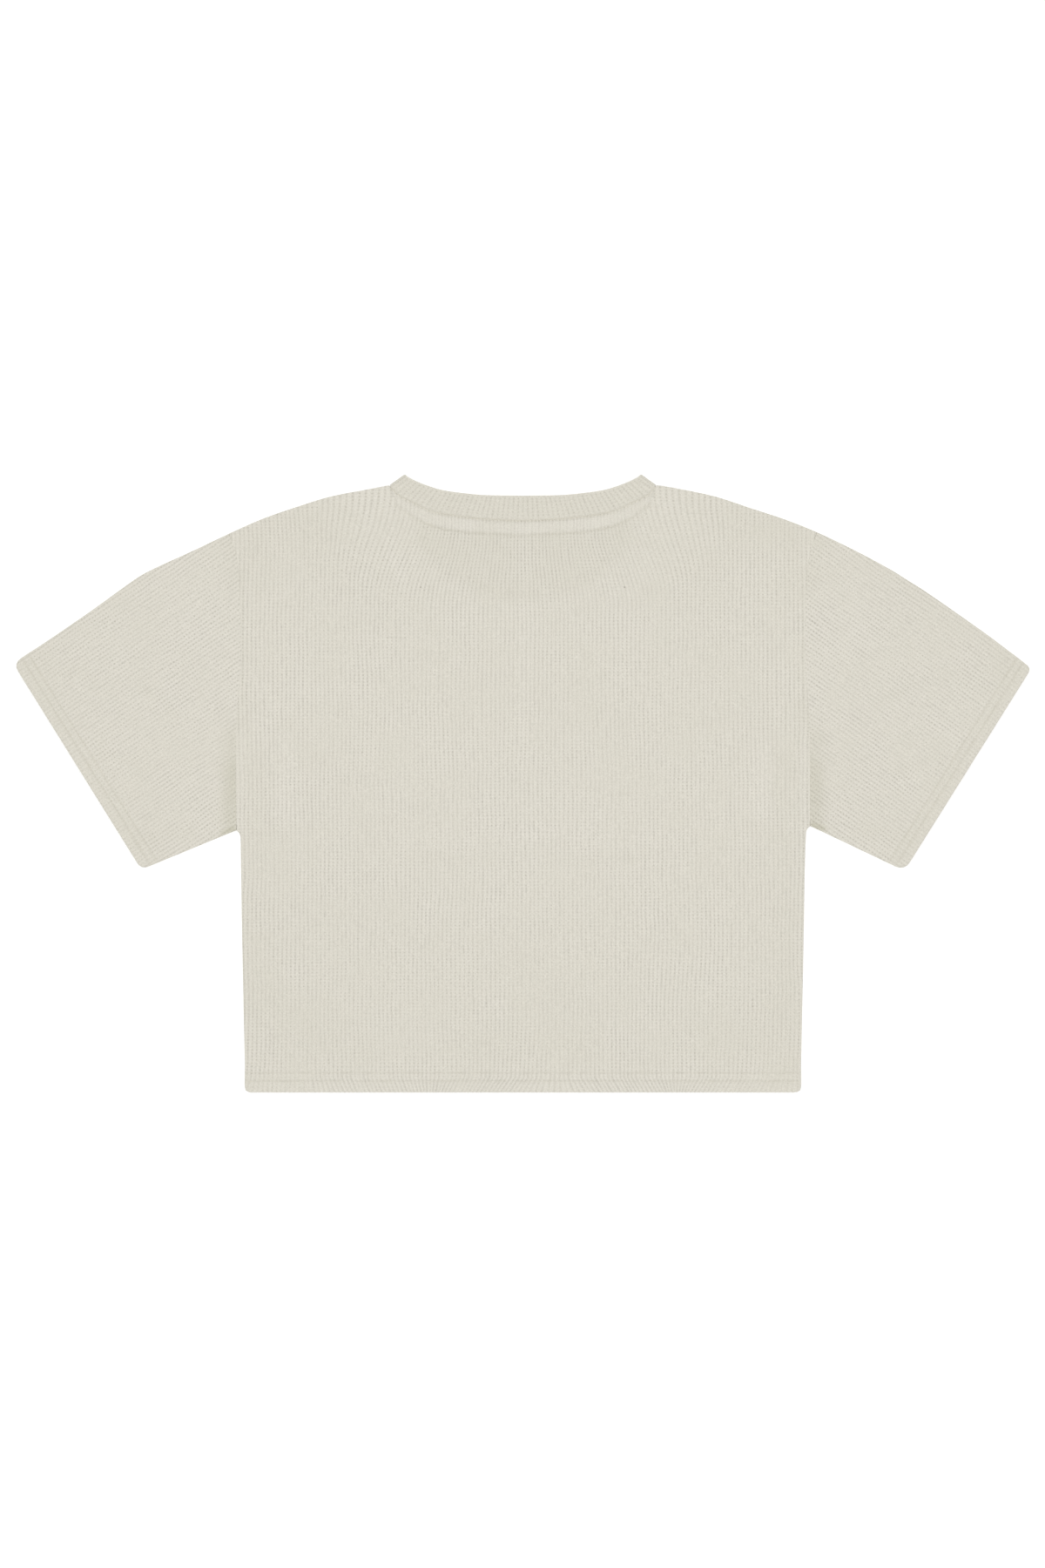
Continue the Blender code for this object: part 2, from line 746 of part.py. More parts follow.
def neck_band():
    """The folded strip, sewn into a ring that lies flattened like the rest of the shirt."""
    bm = bmesh.new()
    loops = [
        [bm.verts.new(band_point(station, *row)) for row in BAND_PROFILE] for station in band_stations()
    ]
    for loop, after in zip(loops, loops[1:] + loops[:1]):
        join(bm, loop, after)
    bmesh.ops.recalc_face_normals(bm, faces=bm.faces[:])
    return finished("neck_band", bm)


# ---- Scene ----


def knit_material():
    material = bpy.data.materials.new("waffle_knit")
    material.use_nodes = True
    shader = material.node_tree.nodes["Principled BSDF"]
    shader.inputs["Base Color"].default_value = KNIT_COLOUR
    shader.inputs["Roughness"].default_value = 0.9
    shader.inputs["Metallic"].default_value = 0.0
    return material


def finished(name, bm, location=(0, 0, 0)):
    """A named object from the mesh, shaded smooth across the cloth and sharp at its edges."""
    mesh = bpy.data.meshes.new(name)
    bm.to_mesh(mesh)
    bm.free()
    mesh.shade_smooth()
    mesh.set_sharp_from_angle(angle=radians(40))
    obj = bpy.data.objects.new(name, mesh)
    obj.location = location
    bpy.context.scene.collection.objects.link(obj)
    return obj


def main():
    for obj in list(bpy.data.objects):
        bpy.data.objects.remove(obj)
    shirt = bpy.data.objects.new("waffle_t_shirt", None)
    bpy.context.scene.collection.objects.link(shirt)
    material = knit_material()
    pieces = (
        front_panel(),
        back_panel(),
        sleeve(LEFT, "sleeve_left"),
        sleeve(RIGHT, "sleeve_right"),
        neck_band(),
    )
    for piece in pieces:
        piece.parent = shirt
        piece.data.materials.append(material)


main()
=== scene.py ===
import math
from collections import Counter

import bmesh
import bpy
import numpy as np
from mathutils.bvhtree import BVHTree
from mathutils.geometry import delaunay_2d_cdt
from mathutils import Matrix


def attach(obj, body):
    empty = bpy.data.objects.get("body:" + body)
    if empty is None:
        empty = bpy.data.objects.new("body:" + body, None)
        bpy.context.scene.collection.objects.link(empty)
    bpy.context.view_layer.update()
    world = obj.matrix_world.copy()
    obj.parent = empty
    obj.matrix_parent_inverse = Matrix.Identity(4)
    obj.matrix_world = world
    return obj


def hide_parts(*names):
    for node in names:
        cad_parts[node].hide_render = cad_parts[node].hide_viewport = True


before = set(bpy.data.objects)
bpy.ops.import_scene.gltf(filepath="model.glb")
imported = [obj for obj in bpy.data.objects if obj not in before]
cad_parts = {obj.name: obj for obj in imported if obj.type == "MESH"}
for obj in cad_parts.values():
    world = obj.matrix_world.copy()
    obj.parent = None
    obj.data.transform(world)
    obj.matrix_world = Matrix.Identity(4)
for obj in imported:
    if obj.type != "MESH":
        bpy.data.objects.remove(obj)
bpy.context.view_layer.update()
bpy.ops.object.select_all(action="DESELECT")

mm = 0.001
left, right = -1, 1

# the photograph, and how it sees the shirt
photo = {
    "width": 1200,
    "height": 1800,
    "mmPerPixel": 0.71,
    "middle": (600.5, 899.5),  # the pixel over the frame's origin
    "lens": 85,
    "sensor": 36,
}

cloth = {
    "thick": 1.4 * mm,
    "gap": 0.3 * mm,
    "loft": 1.2 * mm,  # air under the upper layer, away from the edges
    "loftReach": 26 * mm,
    "swells": ((0.12 * mm, 34 * mm),),  # height and size of its random swells
    "hemDepth": 17 * mm,
    "hemFade": 8 * mm,
    "rim": 0.9 * mm,  # width of the rounding along an edge
    "seamWidth": 2.4 * mm,  # half the width of a seam's valley, and its depth
    "seamDrop": 0.5 * mm,
    "edgePitch": 3.2 * mm,  # spacing of the points round an outline
    "sharpAngle": 50,
    "lining": 15 * mm,  # cells of a hidden inner face
    "backLining": 9 * mm,
    "ribDepth": 0.27 * mm,
    "pitDepth": 0.15 * mm,
    "valleyNarrow": 2.5,  # the higher, the narrower the valleys between ribs
    "pitNarrow": 4.2,
    "pitShort": 1.9,
}

body = {
    "hem": -251.5,
    "scallop": 0.25 * mm,  # how far each rib stands out at the hem's edge
    "wale": 3.48 * mm,  # spacing of the knit's ribs, and of its rows
    "row": 2.73 * mm,
    "hemCorner": 3.5,
    # distance from the centre line, and the height on each side: shoulder, then the sleeve's fold
    "topLine": (
        (109.6, 243.0, 243.2),
        (128.0, 239.6, 240.2),
        (157.0, 234.0, 234.0),
        (185.0, 225.4, 224.8),
        (213.0, 215.6, 215.6),
        (239.6, 203.8, 205.0),
        (270.0, 189.4, 190.5),
        (299.0, 176.2, 175.0),
        (313.0, 168.8, 166.3),
        (327.0, 159.0, 157.5),
        (355.0, 138.9, 138.2),
        (384.0, 119.0, 117.5),
    ),
    "shoulderRows": 6,
    "hemRows": (9.4, 16.0),  # of stitches, from the hem's edge
    "rowEnd": 225.4 * mm,
    "armhole": (
        (232.5, 179.0),
        (230.4, 140.0),
        (229.7, 101.0),
        (232.0, 74.0),
        (233.8, 33.0),
        (234.0, -10.0),
    ),
    # the side seam's first points, from the underarm
    "notch": ((-1.2, -1.1), (-2.7, -3.0), (-3.3, -6.5)),
    "sideSeam": ((229.9, -70.0), (229.0, -125.0), (226.8, -231.0)),
}

sleeves = {
    "wale": 3.16 * mm,
    "row": 2.7 * mm,
    "hemRows": (8.5, 14.6),
    "rowTrim": 2.5 * mm,
    left: {
        "node": "sleeve_left",
        "piece": "sleeveLeft",
        "stitches": "sleeveStitchesLeft",
        "tip": (415.5, 98.0),
        "corner": (311.0, -70.0),
        "underarm": (233.6, -38.0),
        "tipRound": 7.0,
        "cornerRound": 6.0,
    },
    right: {
        "node": "sleeve_right",
        "piece": "sleeveRight",
        "stitches": "sleeveStitchesRight",
        "tip": (414.4, 94.0),
        "corner": (311.0, -71.0),
        "underarm": (234.2, -34.5),
        "tipRound": 4.0,
        "cornerRound": 8.0,
    },
}

neck = {
    "backSeam": ((0, 214.2), (30, 215.6), (60, 219.0), (75, 222.4), (88, 228.2), (100, 233.9)),
    "backEdge": ((0, 234.8), (30, 235.2), (50, 237.0), (65, 239.2), (76, 242.2), (86, 245.8)),
    "frontSeam": (
        *((0, 122.5), (33, 127), (62, 140), (84, 155)),
        *((99, 170), (107.5, 188), (110.5, 208), (109.6, 228)),
    ),
    "frontEdge": (
        *((0, 141.5), (28, 145.5), (54, 157), (75, 173)),
        *((89, 189), (94.6, 205), (95.2, 226)),
    ),
    "foldSeam": (109.0, 243.0),
    "foldEdge": (96.0, 252.4),
    "topstitch": ((0, 202.2), (33, 204.0), (56, 206.2), (75, 210.4), (90, 217.4), (103, 226.6)),
    "stripRaise": 1.0 * mm,
    "holeFloor": 0.9 * mm,
    "holeShade": 0.021,  # painted shade: the single layer sunk into the neck hole is drawn this much darker
    "holeFade": 14 * mm,
    "stripPale": 0.004,
    "bandHalf": 9.5 * mm,
    "bandClear": 2 * mm,
    "bandSlope": 19 * mm,
    "bandClimb": (66 * mm, 90 * mm),
}


def withMirror(rows):
    return [*rows, *((-x1, y1, -x2, y2, *rest) for x1, y1, x2, y2, *rest in rows)]


# folds of the upper layer, in millimetres: two ends, width, and height over the cloth round it
foldReach, shadingReach = 2.2, 2.0
folds = (
    *withMirror(
        (
            (178, 66, 0, 12, 11, 0.7),  # shallow V across the back
            (196, 24, 197, -22, 12, 1.1),  # down from the armholes
            (157, -14, 161, -62, 10, 0.8),
            (118, -188, 66, -188, 14, 0.6),
        )
    ),
    (0, 92, 0, 30, 13, 0.8),
    (-60, -197, 60, -197, 13, -0.7),  # above the hem
    (-318, 86, -284, 58, 9, -0.8),  # sleeves
    (318, 80, 286, 62, 9, -0.8),
    (-342, 22, -312, 12, 9, -0.7),
    (340, 20, 308, 10, 9, -0.7),
    (-330, -44, -250, -26, 9, -0.8),
    (328, -46, 250, -24, 9, -0.8),
)
lowFolds = (  # of the layer that lies on the surface
    (-168, 58, -64, 22, 12, 0.45),
    (150, 96, 88, -6, 12, 0.4),
    (-120, -92, -24, -128, 14, 0.5),
    (60, -150, 172, -118, 12, 0.4),
    (-190, -170, -150, -64, 10, 0.4),
    (0, 70, 24, -40, 13, 0.35),
    (-334, 70, -270, 96, 10, 0.45),
    (-318, -12, -262, 18, 9, 0.4),
    (330, 62, 276, 104, 10, 0.4),
    (316, -22, 262, 8, 9, 0.45),
)
bodyCreases = withMirror([(223, 40, 225, -34, 5, 0.9)])  # the body stands over the sleeve here
sleeveCreases = (
    (-246, 26, -245, -34, 7, -1.2),  # and the sleeve dips there
    (246, 26, 245, -32, 7, -1.2),
    (-239, -36, -246, -39, 1.8, -1.0),  # a pinch at the underarm
    (239, -32.5, 246, -35.5, 1.8, -1.0),
)
# painted light and shade of the cloth's folds, creases and seams, with some tone: two ends, width,
# and how much darker; paler is below zero
bodyShadingAndTone = (
    *withMirror(
        (
            (196, 30, 194, -22, 9, -0.02),
            (228.5, 60, 229.5, -38, 2, -0.02),
            (214, 20, 212, -38, 9, 0.01),
            (231, 172, 229.5, 50, 4, 0.016),  # painted shade along the armholes
            (222, 196, 214, 160, 10, 0.012),
            (227, 62, 227, 42, 6, 0.012),
            (84, 216, 42, 211, 4, -0.01),
            (216, -110, 214, -236, 14, 0.006),
            (150, 224, 212, 206, 14, 0.01),  # on the shoulders
        )
    ),
    (0, 206, 0, 40, 5, -0.012),  # pale streak down the centre
    (-172, 202, -126, 166, 20, 0.009),
    (172, 200, 128, 166, 20, 0.008),
    (-104, 184, -99, 168, 5, -0.012),
    (103, 184, 98, 168, 5, -0.012),
    (-60, -22, 60, -22, 70, -0.006),
    (-100, -42, 100, -42, 4, -0.006),  # painted light and shade of a soft fold across the middle
    (-95, -60, 95, -60, 5, 0.006),
    (-202, -188, -146, -214, 20, 0.009),
    (202, -190, 150, -212, 20, 0.009),
    (-45, -213, 45, -213, 13, 0.009),
    (-108, -204, -78, -204, 11, -0.007),
    (106, -204, 80, -204, 11, -0.006),
    (-226, -243.5, 226, -243.5, 8, -0.01),  # paler along the hem, and painted light on its very edge
    (-226, -251.7, 226, -251.7, 1.6, -0.03),
)
sleeveShadingAndTone = (
    *withMirror(((330, 60, 275, 60, 60, -0.006), (240, 196, 231, 165, 9, 0.016))),
    (-236, 10, -237, -30, 7.5, 0.05),  # painted shade in the dip beside the body
    (236, 10, 237, -28, 7.5, 0.05),
    (-236, 38, -237, -30, 7.5, 0.042),
    (236, 38, 237, -28, 7.5, 0.042),
    (-236.5, -37.4, -245, -40.4, 2.1, 0.15),  # and painted shade in the pinch
    (237, -33.9, 245, -36.9, 2.1, 0.15),
    (-283, 166, -262, 122, 20, -0.008),
    (283, 162, 266, 120, 20, -0.008),
    (-316, 84, -284, 58, 4, 0.012),
    (316, 80, 286, 62, 4, 0.01),
    (-345, 26, -302, 12, 4, 0.011),
    (340, 22, 304, 10, 4, 0.008),
    (-276, 106, -270, 94, 6, 0.01),
    (276, 104, 270, 92, 6, 0.01),
    (-392, 94, -350, 82, 12, 0.008),
    (392, 92, 352, 80, 12, 0.009),
    (-318, -46, -272, -38, 5, 0.014),
    (316, -46, 272, -38, 5, 0.014),
)
pulledPits = ((-84.1, 160.1), (83.4, 160.1))  # pits that stand out, under the neck


# plane geometry, on arrays of points


def ease(x, start, end):
    t = np.clip((x - start) / (end - start), 0, 1)
    return t * t * (3 - 2 * t)


def mix(a, b, share):
    return a + (b - a) * share


def unit(vector):
    return vector / np.linalg.norm(vector)


def smoothCurve(points, steps=6):
    points = np.array(points, float)
    run = np.vstack([2 * points[0] - points[1], points, 2 * points[-1] - points[-2]])
    curve = []
    for p0, p1, p2, p3 in zip(run, run[1:], run[2:], run[3:]):
        for t in np.arange(steps) / steps:
            bend = 2 * p0 - 5 * p1 + 4 * p2 - p3 + t * (3 * (p1 - p2) + p3 - p0)
            curve.append(p1 + 0.5 * t * (p2 - p0 + t * bend))
    return np.array([*curve, points[-1]])


def alongLine(line):
    return np.concatenate([[0], np.cumsum(np.linalg.norm(np.diff(line, axis=0), axis=1))])


def pointsAt(line, shares):
    along = alongLine(line)
    where = np.asarray(shares) * along[-1]
    return np.stack([np.interp(where, along, line[:, i]) for i in range(line.shape[1])], axis=-1)


def spaced(line, pitch):
    count = max(int(round(alongLine(line)[-1] / pitch)), 1)
    return pointsAt(line, np.arange(count + 1) / count)


def offsetLine(line, away):
    # the line moved to its right-hand side
    before, after = np.vstack([line[:1], line[:-1]]), np.vstack([line[1:], line[-1:]])
    d = after - before
    return line + away * np.stack([d[:, 1], -d[:, 0]], 1) / np.linalg.norm(d, axis=1)[:, None]


def toLine(points, line):
    nearest = np.full(len(points), np.inf)
    for a, b in zip(line, line[1:]):
        d = b - a
        t = np.clip(((points - a) @ d) / max(d @ d, 1e-18), 0, 1)
        away = points - a - t[:, None] * d
        nearest = np.minimum(nearest, (away * away).sum(1))
    return np.sqrt(nearest)


def insideEdges(points, starts, ends):
    # whether each point is inside the loop, or loops, that the edges make
    within = np.zeros(len(points), bool)
    for (x1, y1), (x2, y2) in zip(starts, ends):
        if y1 != y2:
            crosses = (y1 > points[:, 1]) != (y2 > points[:, 1])
            within ^= crosses & (points[:, 0] < x1 + (points[:, 1] - y1) * (x2 - x1) / (y2 - y1))
    return within


def insideLoop(points, loop):
    return insideEdges(points, loop, np.roll(loop, -1, 0))


def closed(loop):
    return np.vstack([loop, loop[:1]])


def fromEdge(points, loop):
    # how far inside the loop each point is; exact only near the edge
    rough = loop[::6]
    away = toLine(points, closed(rough)) * np.where(insideLoop(points, rough), 1, -1)
    near = np.abs(away) < 8 * mm
    exact = toLine(points[near], closed(loop))
    away[near] = exact * np.where(insideLoop(points[near], loop), 1, -1)
    return away


def sidePoints(rows, side=right):
    return np.array(rows, float)[:, :2] * (side * mm, mm)


def sleevePoints(side, *labels):
    return [sidePoints([sleeves[side][label]], side)[0] for label in labels]


def bothSides(half):
    return np.vstack([half[:0:-1] * (-1, 1), half])


def strokes(points, rows, reach):
    # the sum of what each row draws, fading out over its width
    total = np.zeros(len(points))
    for x1, y1, x2, y2, width, amount in rows:
        away = toLine(points, np.array([(x1, y1), (x2, y2)]) * mm)
        total += amount * (1 - ease(away, 0, reach * width * mm))
    return total


def cloudy(points, size, seed):
    # soft random swells from -1 to 1, about that size
    lattice = np.random.default_rng(seed).uniform(-1, 1, (128, 128))
    place = points / size + 64
    cell = np.floor(place).astype(int)
    t = place - cell
    t = t * t * (3 - 2 * t)
    x, y = cell[:, 0] % 127, cell[:, 1] % 127
    low = mix(lattice[y, x], lattice[y, x + 1], t[:, 0])
    high = mix(lattice[y + 1, x], lattice[y + 1, x + 1], t[:, 0])
    return mix(low, high, t[:, 1])


def swells(points, sizes, seed):
    # random swells of each size, with its own height
    return sum(high * cloudy(points, size, seed + i) for i, (high, size) in enumerate(sizes))


# outlines, worked out from the tables above


def topLine(side):
    column = 1 if side == left else 2
    rows = [(row[0], row[column]) for row in body["topLine"]]
    return sidePoints(smoothCurve([*rows, sleeves[side]["tip"]]), side)


def shoulderLine(side):
    return topLine(side)[: (body["shoulderRows"] - 1) * 6 + 1]


def sleeveTop(side):
    return topLine(side)[(body["shoulderRows"] - 1) * 6 :]


def armholeLine(side):
    start = shoulderLine(side)[-1] / (side * mm, mm)
    return sidePoints(smoothCurve([start, *body["armhole"], sleeves[side]["underarm"]]), side)


def sideSeamLine(side):
    out, radius = body["sideSeam"][-1][0], body["hemCorner"]
    turns = np.radians((0, 22, 45, 68, 90))
    corner = [
        (out - radius * (1 - math.cos(a)), body["hem"] + radius * (1 - math.sin(a))) for a in turns
    ]
    underarm = np.array(sleeves[side]["underarm"])
    start = [underarm, *(underarm + step for step in np.array(body["notch"]))]
    return sidePoints(np.vstack([smoothCurve([*start, *body["sideSeam"]]), corner]), side)


def foldLine():
    seam, edge = np.array(neck["foldSeam"]) * mm, np.array(neck["foldEdge"]) * mm
    away = unit(np.array([edge[1] - seam[1], seam[0] - edge[0]]))
    back = 2 * cloth["thick"] + cloth["gap"] / 2
    return seam - back * away, edge - back * away, away


foldStart, foldEnd, foldOut = foldLine()


def neckCurve(rows, end):
    half = smoothCurve(np.vstack([np.array(rows, float) * mm, end]))
    return bothSides(half)


backSeam = neckCurve(neck["backSeam"], foldStart)
backEdge = neckCurve(neck["backEdge"], foldEnd)
frontSeam = neckCurve(neck["frontSeam"], foldStart)
frontEdge = neckCurve(neck["frontEdge"], foldEnd)
bandShares = np.arange(41) / 40
frontMiddle = (pointsAt(frontSeam, bandShares) + pointsAt(frontEdge, bandShares)) / 2
neckHole = np.vstack([frontMiddle, foldEnd, foldEnd * (-1, 1)])
topstitch = bothSides(smoothCurve(np.array(neck["topstitch"], float) * mm))
closedEdges = []
for side in (left, right):
    sleeve = sleeves[side]
    closedEdges.append(topLine(side)[::3])
    rows = [sleeve["corner"], sleeve["underarm"], *body["sideSeam"]]
    closedEdges.append(sidePoints([*rows, (body["sideSeam"][-1][0], body["hem"])], side))


def runRound(parts, hemPitch=cloth["edgePitch"], scallop=0.0):
    # points round an outline, and the kind of edge that each lies on
    loop, kinds = [], []
    for kind, line in parts:
        pitch = hemPitch if kind == "hem" else cloth["edgePitch"]
        points = spaced(np.array(line), pitch)[:-1]
        if kind == "hem":
            points[1::2, 1] -= scallop
        loop.append(points)
        kinds += [kind] * len(points)
    return np.vstack(loop), np.array(kinds)


def panelOutline(seamLine):
    # anticlockwise from the hem
    fold = np.array(neck["foldSeam"]) * mm
    neckEdge = np.vstack([fold * (-1, 1), seamLine, fold])
    leftSide, rightSide = sideSeamLine(left), sideSeamLine(right)
    parts = (
        ("hem", [leftSide[-1], rightSide[-1]]),
        ("closed", rightSide[::-1]),
        ("armhole", armholeLine(right)[::-1]),
        ("closed", shoulderLine(right)[::-1]),
        ("neck", neckEdge[::-1]),
        ("closed", shoulderLine(left)),
        ("armhole", armholeLine(left)),
        ("closed", leftSide),
    )
    loop, kinds = runRound(parts, body["wale"] / 2, body["scallop"])
    apart = np.linalg.norm(loop - np.roll(loop, 1, 0), axis=1) > 0.1 * mm
    loop, kinds = loop[apart], kinds[apart]
    for side in (left, right):
        (underarm,) = sleevePoints(side, "underarm")
        kinds[np.linalg.norm(loop - underarm, axis=1) < 0.1 * mm] = "closed"
    return loop, kinds


def fillet(corner, before, after, radius):
    # points that round a corner between the lines from it to before and after
    a, b = unit(before - corner), unit(after - corner)
    half = math.acos(np.clip(a @ b, -1, 1)) / 2
    reach = radius / math.tan(half)
    middle = corner + unit(a + b) * radius / math.sin(half)
    start, end = corner + a * reach - middle, corner + b * reach - middle
    turn = math.acos(np.clip(start @ end / radius**2, -1, 1))
    shares = np.arange(7) / 6
    arc = np.outer(np.sin((1 - shares) * turn), start) + np.outer(np.sin(shares * turn), end)
    return middle + arc / math.sin(turn)


def sleeveOutline(side):
    # from the shoulder down the armhole, along the underside, round the hem and back on the fold
    sleeve, top = sleeves[side], sleeveTop(side)
    tip, corner, underarm = sleevePoints(side, "tip", "corner", "underarm")
    lowRound = fillet(corner, underarm, tip, sleeve["cornerRound"] * mm)
    highRound = fillet(tip, corner, top[-4], sleeve["tipRound"] * mm)
    reach = np.linalg.norm(highRound[-1] - tip)
    kept = top[np.linalg.norm(top - tip, axis=1) > reach]
    parts = (
        ("armhole", armholeLine(side)),
        ("fold", [underarm, *lowRound[:4]]),
        ("hem", [*lowRound[3:], *highRound[:4]]),
        ("fold", [*highRound[3:], *kept[::-1]]),
    )
    loop, kinds = runRound(parts)
    kinds[kinds != np.roll(kinds, 1)] = "fold"  # the end points belong to both layers
    return (loop[::-1], kinds[::-1]) if side == left else (loop, kinds)


# heights, as the solids have them


def foldHeight(points, rows):
    return mm * strokes(points, rows, foldReach)


def fromClosedEdges(points):
    return np.min([toLine(points, line) for line in closedEdges], axis=0)


def overHem(points):
    return points[:, 1] - body["hem"] * mm


def overBand(points):
    away = toLine(points, frontMiddle) - neck["bandHalf"]
    return 1 - ease(away, neck["bandClear"], neck["bandSlope"])


def upperFloor(points, creases=()):
    # underside of the upper layer
    edge = fromClosedEdges(points)
    oneLayer = cloth["thick"] + cloth["gap"]
    loft = cloth["loft"] * ease(edge, 0, cloth["loftReach"])
    swell = swells(points, cloth["swells"], seeds["swell"])
    loft += (foldHeight(points, [*folds, *creases]) + swell) * ease(edge, 0, 6 * mm)
    rest = np.where(insideLoop(points, neckHole), neck["holeFloor"], oneLayer + np.maximum(loft, 0))
    return mix(rest, 2 * oneLayer, overBand(points))


def hemShare(fromHem):
    return 1 - ease(fromHem, cloth["hemDepth"], cloth["hemDepth"] + cloth["hemFade"])


def hemFloor(points, fromHem, creases=()):
    doubled = 2 * cloth["thick"] + cloth["gap"]
    return mix(upperFloor(points, creases), doubled, hemShare(fromHem))


# the knit: cells run across as u and along the ribs as v, with two points to each cell

knitting = {
    "wander": ((1.3 * mm, 62 * mm), (0.42 * mm, 15 * mm)),  # sideways: how far, over what length
    "slip": ((0.7 * mm, 48 * mm),),  # the same along the ribs
    "patches": ((0.5, 26 * mm), (0.35, 9 * mm)),  # crisp and soft patches
    "hemSlant": (11 * mm, 50 * mm),
    "drawn": {"back": 0.2, "front": 0.12},  # how much ribs close up into the neck seam
    "ribRange": (0.68, 1.04),  # strength of the cells, from soft patches to crisp ones
    "pitRange": (0.3, 1.05),
    "hemRib": (1.25, 0.75),  # in the middle of a hem, and from the side seams outwards
    "hemPit": 0.6,
    "evenRib": 0.045,  # paler by so much where ribs or pits are stronger
    "evenPit": 0.033,
}
seeds = {"swell": 3, "back": 11, "sleeve": 23, "front": 71, "hem": 91}
seeds.update(rib=41, pit=51, strip=61)


def knitAxes(knit):
    along = np.array(knit["along"])
    return np.array([along[1], -along[0]]), along


def knitPlace(cells, knit):
    # where a point of the knit lies on the table, in metres
    lean, along = knitAxes(knit)
    straight = cells * (knit["wale"], knit["row"])
    place = knit["origin"] + np.outer(straight[:, 0], lean) + np.outer(straight[:, 1], along)
    return place + knit["warp"](place, lean, along)


def knitCells(points, knit):
    # the other way round, closing in on it
    lean, along = knitAxes(knit)
    guess = points.copy()
    for _ in range(12):
        guess += points - guess - knit["warp"](guess, lean, along)
    away = guess - knit["origin"]
    return np.stack([away @ lean / knit["wale"], away @ along / knit["row"]], 1)


def wander(points, lean, along, seed):
    sideways = swells(points, knitting["wander"], seed)
    return np.outer(sideways, lean) + np.outer(swells(points, knitting["slip"], seed + 2), along)


def hemSlant(points):
    # ribs lean this way and that where the hem is turned up
    far, size = knitting["hemSlant"]
    low = np.clip(1 - overHem(points) / (12 * mm), 0, 1.2)
    return far * low * cloudy(points * (1, 0), size, seeds["hem"])


def bodyKnit(panel, seam, slant):
    # the knit of the back or the front, whose ribs close up into the neck seam
    def warp(points, lean, along):
        moved = wander(points, lean, along, seeds[panel])
        moved[:, 0] += slant * hemSlant(points)
        drawn = knitting["drawn"][panel] * (1 - ease(toLine(points, seam[::4]), 10 * mm, 80 * mm))
        moved[:, 0] -= points[:, 0] * drawn * (1 - ease(np.abs(points[:, 0]), 95 * mm, 205 * mm))
        return moved

    grid = {"wale": body["wale"], "row": body["row"], "warp": warp}
    return {"origin": np.zeros(2), "along": (0.0, 1.0), **grid}


def sleeveWarp(points, lean, along):
    return wander(points, lean, along, seeds["sleeve"])


def kneadedRib(points, seed):
    # how strongly the cells stand out, patch by patch
    return np.clip(0.5 + swells(points, knitting["patches"], seed), 0, 1)


def relief(cells, rib, pit, edge=1):
    across = (1 - np.cos(2 * math.pi * cells[:, 0])) / 2
    along = (1 - np.cos(2 * math.pi * cells[:, 1])) / 2
    depth = across * (cloth["ribDepth"] * rib + cloth["pitDepth"] * pit * along)
    return depth * ease(edge, 0.4 * mm, 2.6 * mm)


# meshes of cloth


def inwardRing(loop, reach):
    def normal(a, b):
        d = b - a
        return np.stack([-d[:, 1], d[:, 0]], 1) / np.linalg.norm(d, axis=1)[:, None]

    n1, n2 = normal(np.roll(loop, 1, 0), loop), normal(loop, np.roll(loop, -1, 0))
    reach = np.broadcast_to(reach, len(loop))
    share = np.maximum(1 + (n1 * n2).sum(1), 0.6)
    return loop + (n1 + n2) * (reach / share)[:, None]


def triangulate(points, edges, holes):
    # triangles inside the outer loop, apart from those inside the holes' edges
    made = delaunay_2d_cdt([tuple(p) for p in points / mm], edges + holes, [], 1, 1e-5)
    source = [origin[0] if origin else -1 for origin in made[3]]
    faces = np.array([[source[i] for i in face] for face in made[2]])
    faces = faces[(faces >= 0).all(1)]
    corners = points[faces]
    a, b = corners[:, 1] - corners[:, 0], corners[:, 2] - corners[:, 0]
    area = a[:, 0] * b[:, 1] - a[:, 1] * b[:, 0]
    faces[area < 0] = faces[area < 0][:, ::-1]
    faces = faces[np.abs(area) > 1e-12]
    starts, ends = points[np.array(holes, int).reshape(-1, 2).T]
    return faces[~insideEdges(points[faces].mean(1), starts, ends)]


def knitGrid(core, knit, first):
    # whole cells inside the core: their points, cells and quads, and the edges round them
    low, high = core.min(0), core.max(0)
    corners = knitCells(np.array([low, high, (low[0], high[1]), (high[0], low[1])]), knit)
    start, end = np.floor(corners.min(0) - 3) * 2, np.ceil(corners.max(0) + 3) * 2
    shape = (int(end[1] - start[1]) + 1, int(end[0] - start[0]) + 1)
    v, u = np.meshgrid(np.arange(shape[0]), np.arange(shape[1]), indexing="ij")
    cells = np.stack([u + start[0], v + start[1]], -1).reshape(-1, 2) / 2
    place = knitPlace(cells, knit)
    kept = (fromEdge(place, core) > 0.45 * mm).reshape(shape)
    padded = np.zeros((shape[0] + 1, shape[1] + 1), bool)
    whole = padded[1:-1, 1:-1]
    whole[:] = kept[:-1, :-1] & kept[1:, :-1] & kept[:-1, 1:] & kept[1:, 1:]
    used = padded[:-1, :-1] | padded[1:, :-1] | padded[:-1, 1:] | padded[1:, 1:]
    index = np.full(shape, -1)
    index[used] = first + np.arange(used.sum())
    j, i = np.nonzero(whole)
    quads = np.stack([index[j, i], index[j, i + 1], index[j + 1, i + 1], index[j + 1, i]], 1)
    turn = (i + j + int(start.sum())) % 2 == 1
    quads[turn] = np.roll(quads[turn], 1, 1)  # so that the diagonals meet in the pits
    y, x = np.nonzero(padded[:-1, 1:-1] != padded[1:, 1:-1])
    level = np.stack([index[y, x], index[y, x + 1]], 1)
    y, x = np.nonzero(padded[1:-1, :-1] != padded[1:-1, 1:])
    upright = np.stack([index[y, x], index[y + 1, x]], 1)
    return place[used.ravel()], cells[used.ravel()], quads, np.vstack([level, upright])


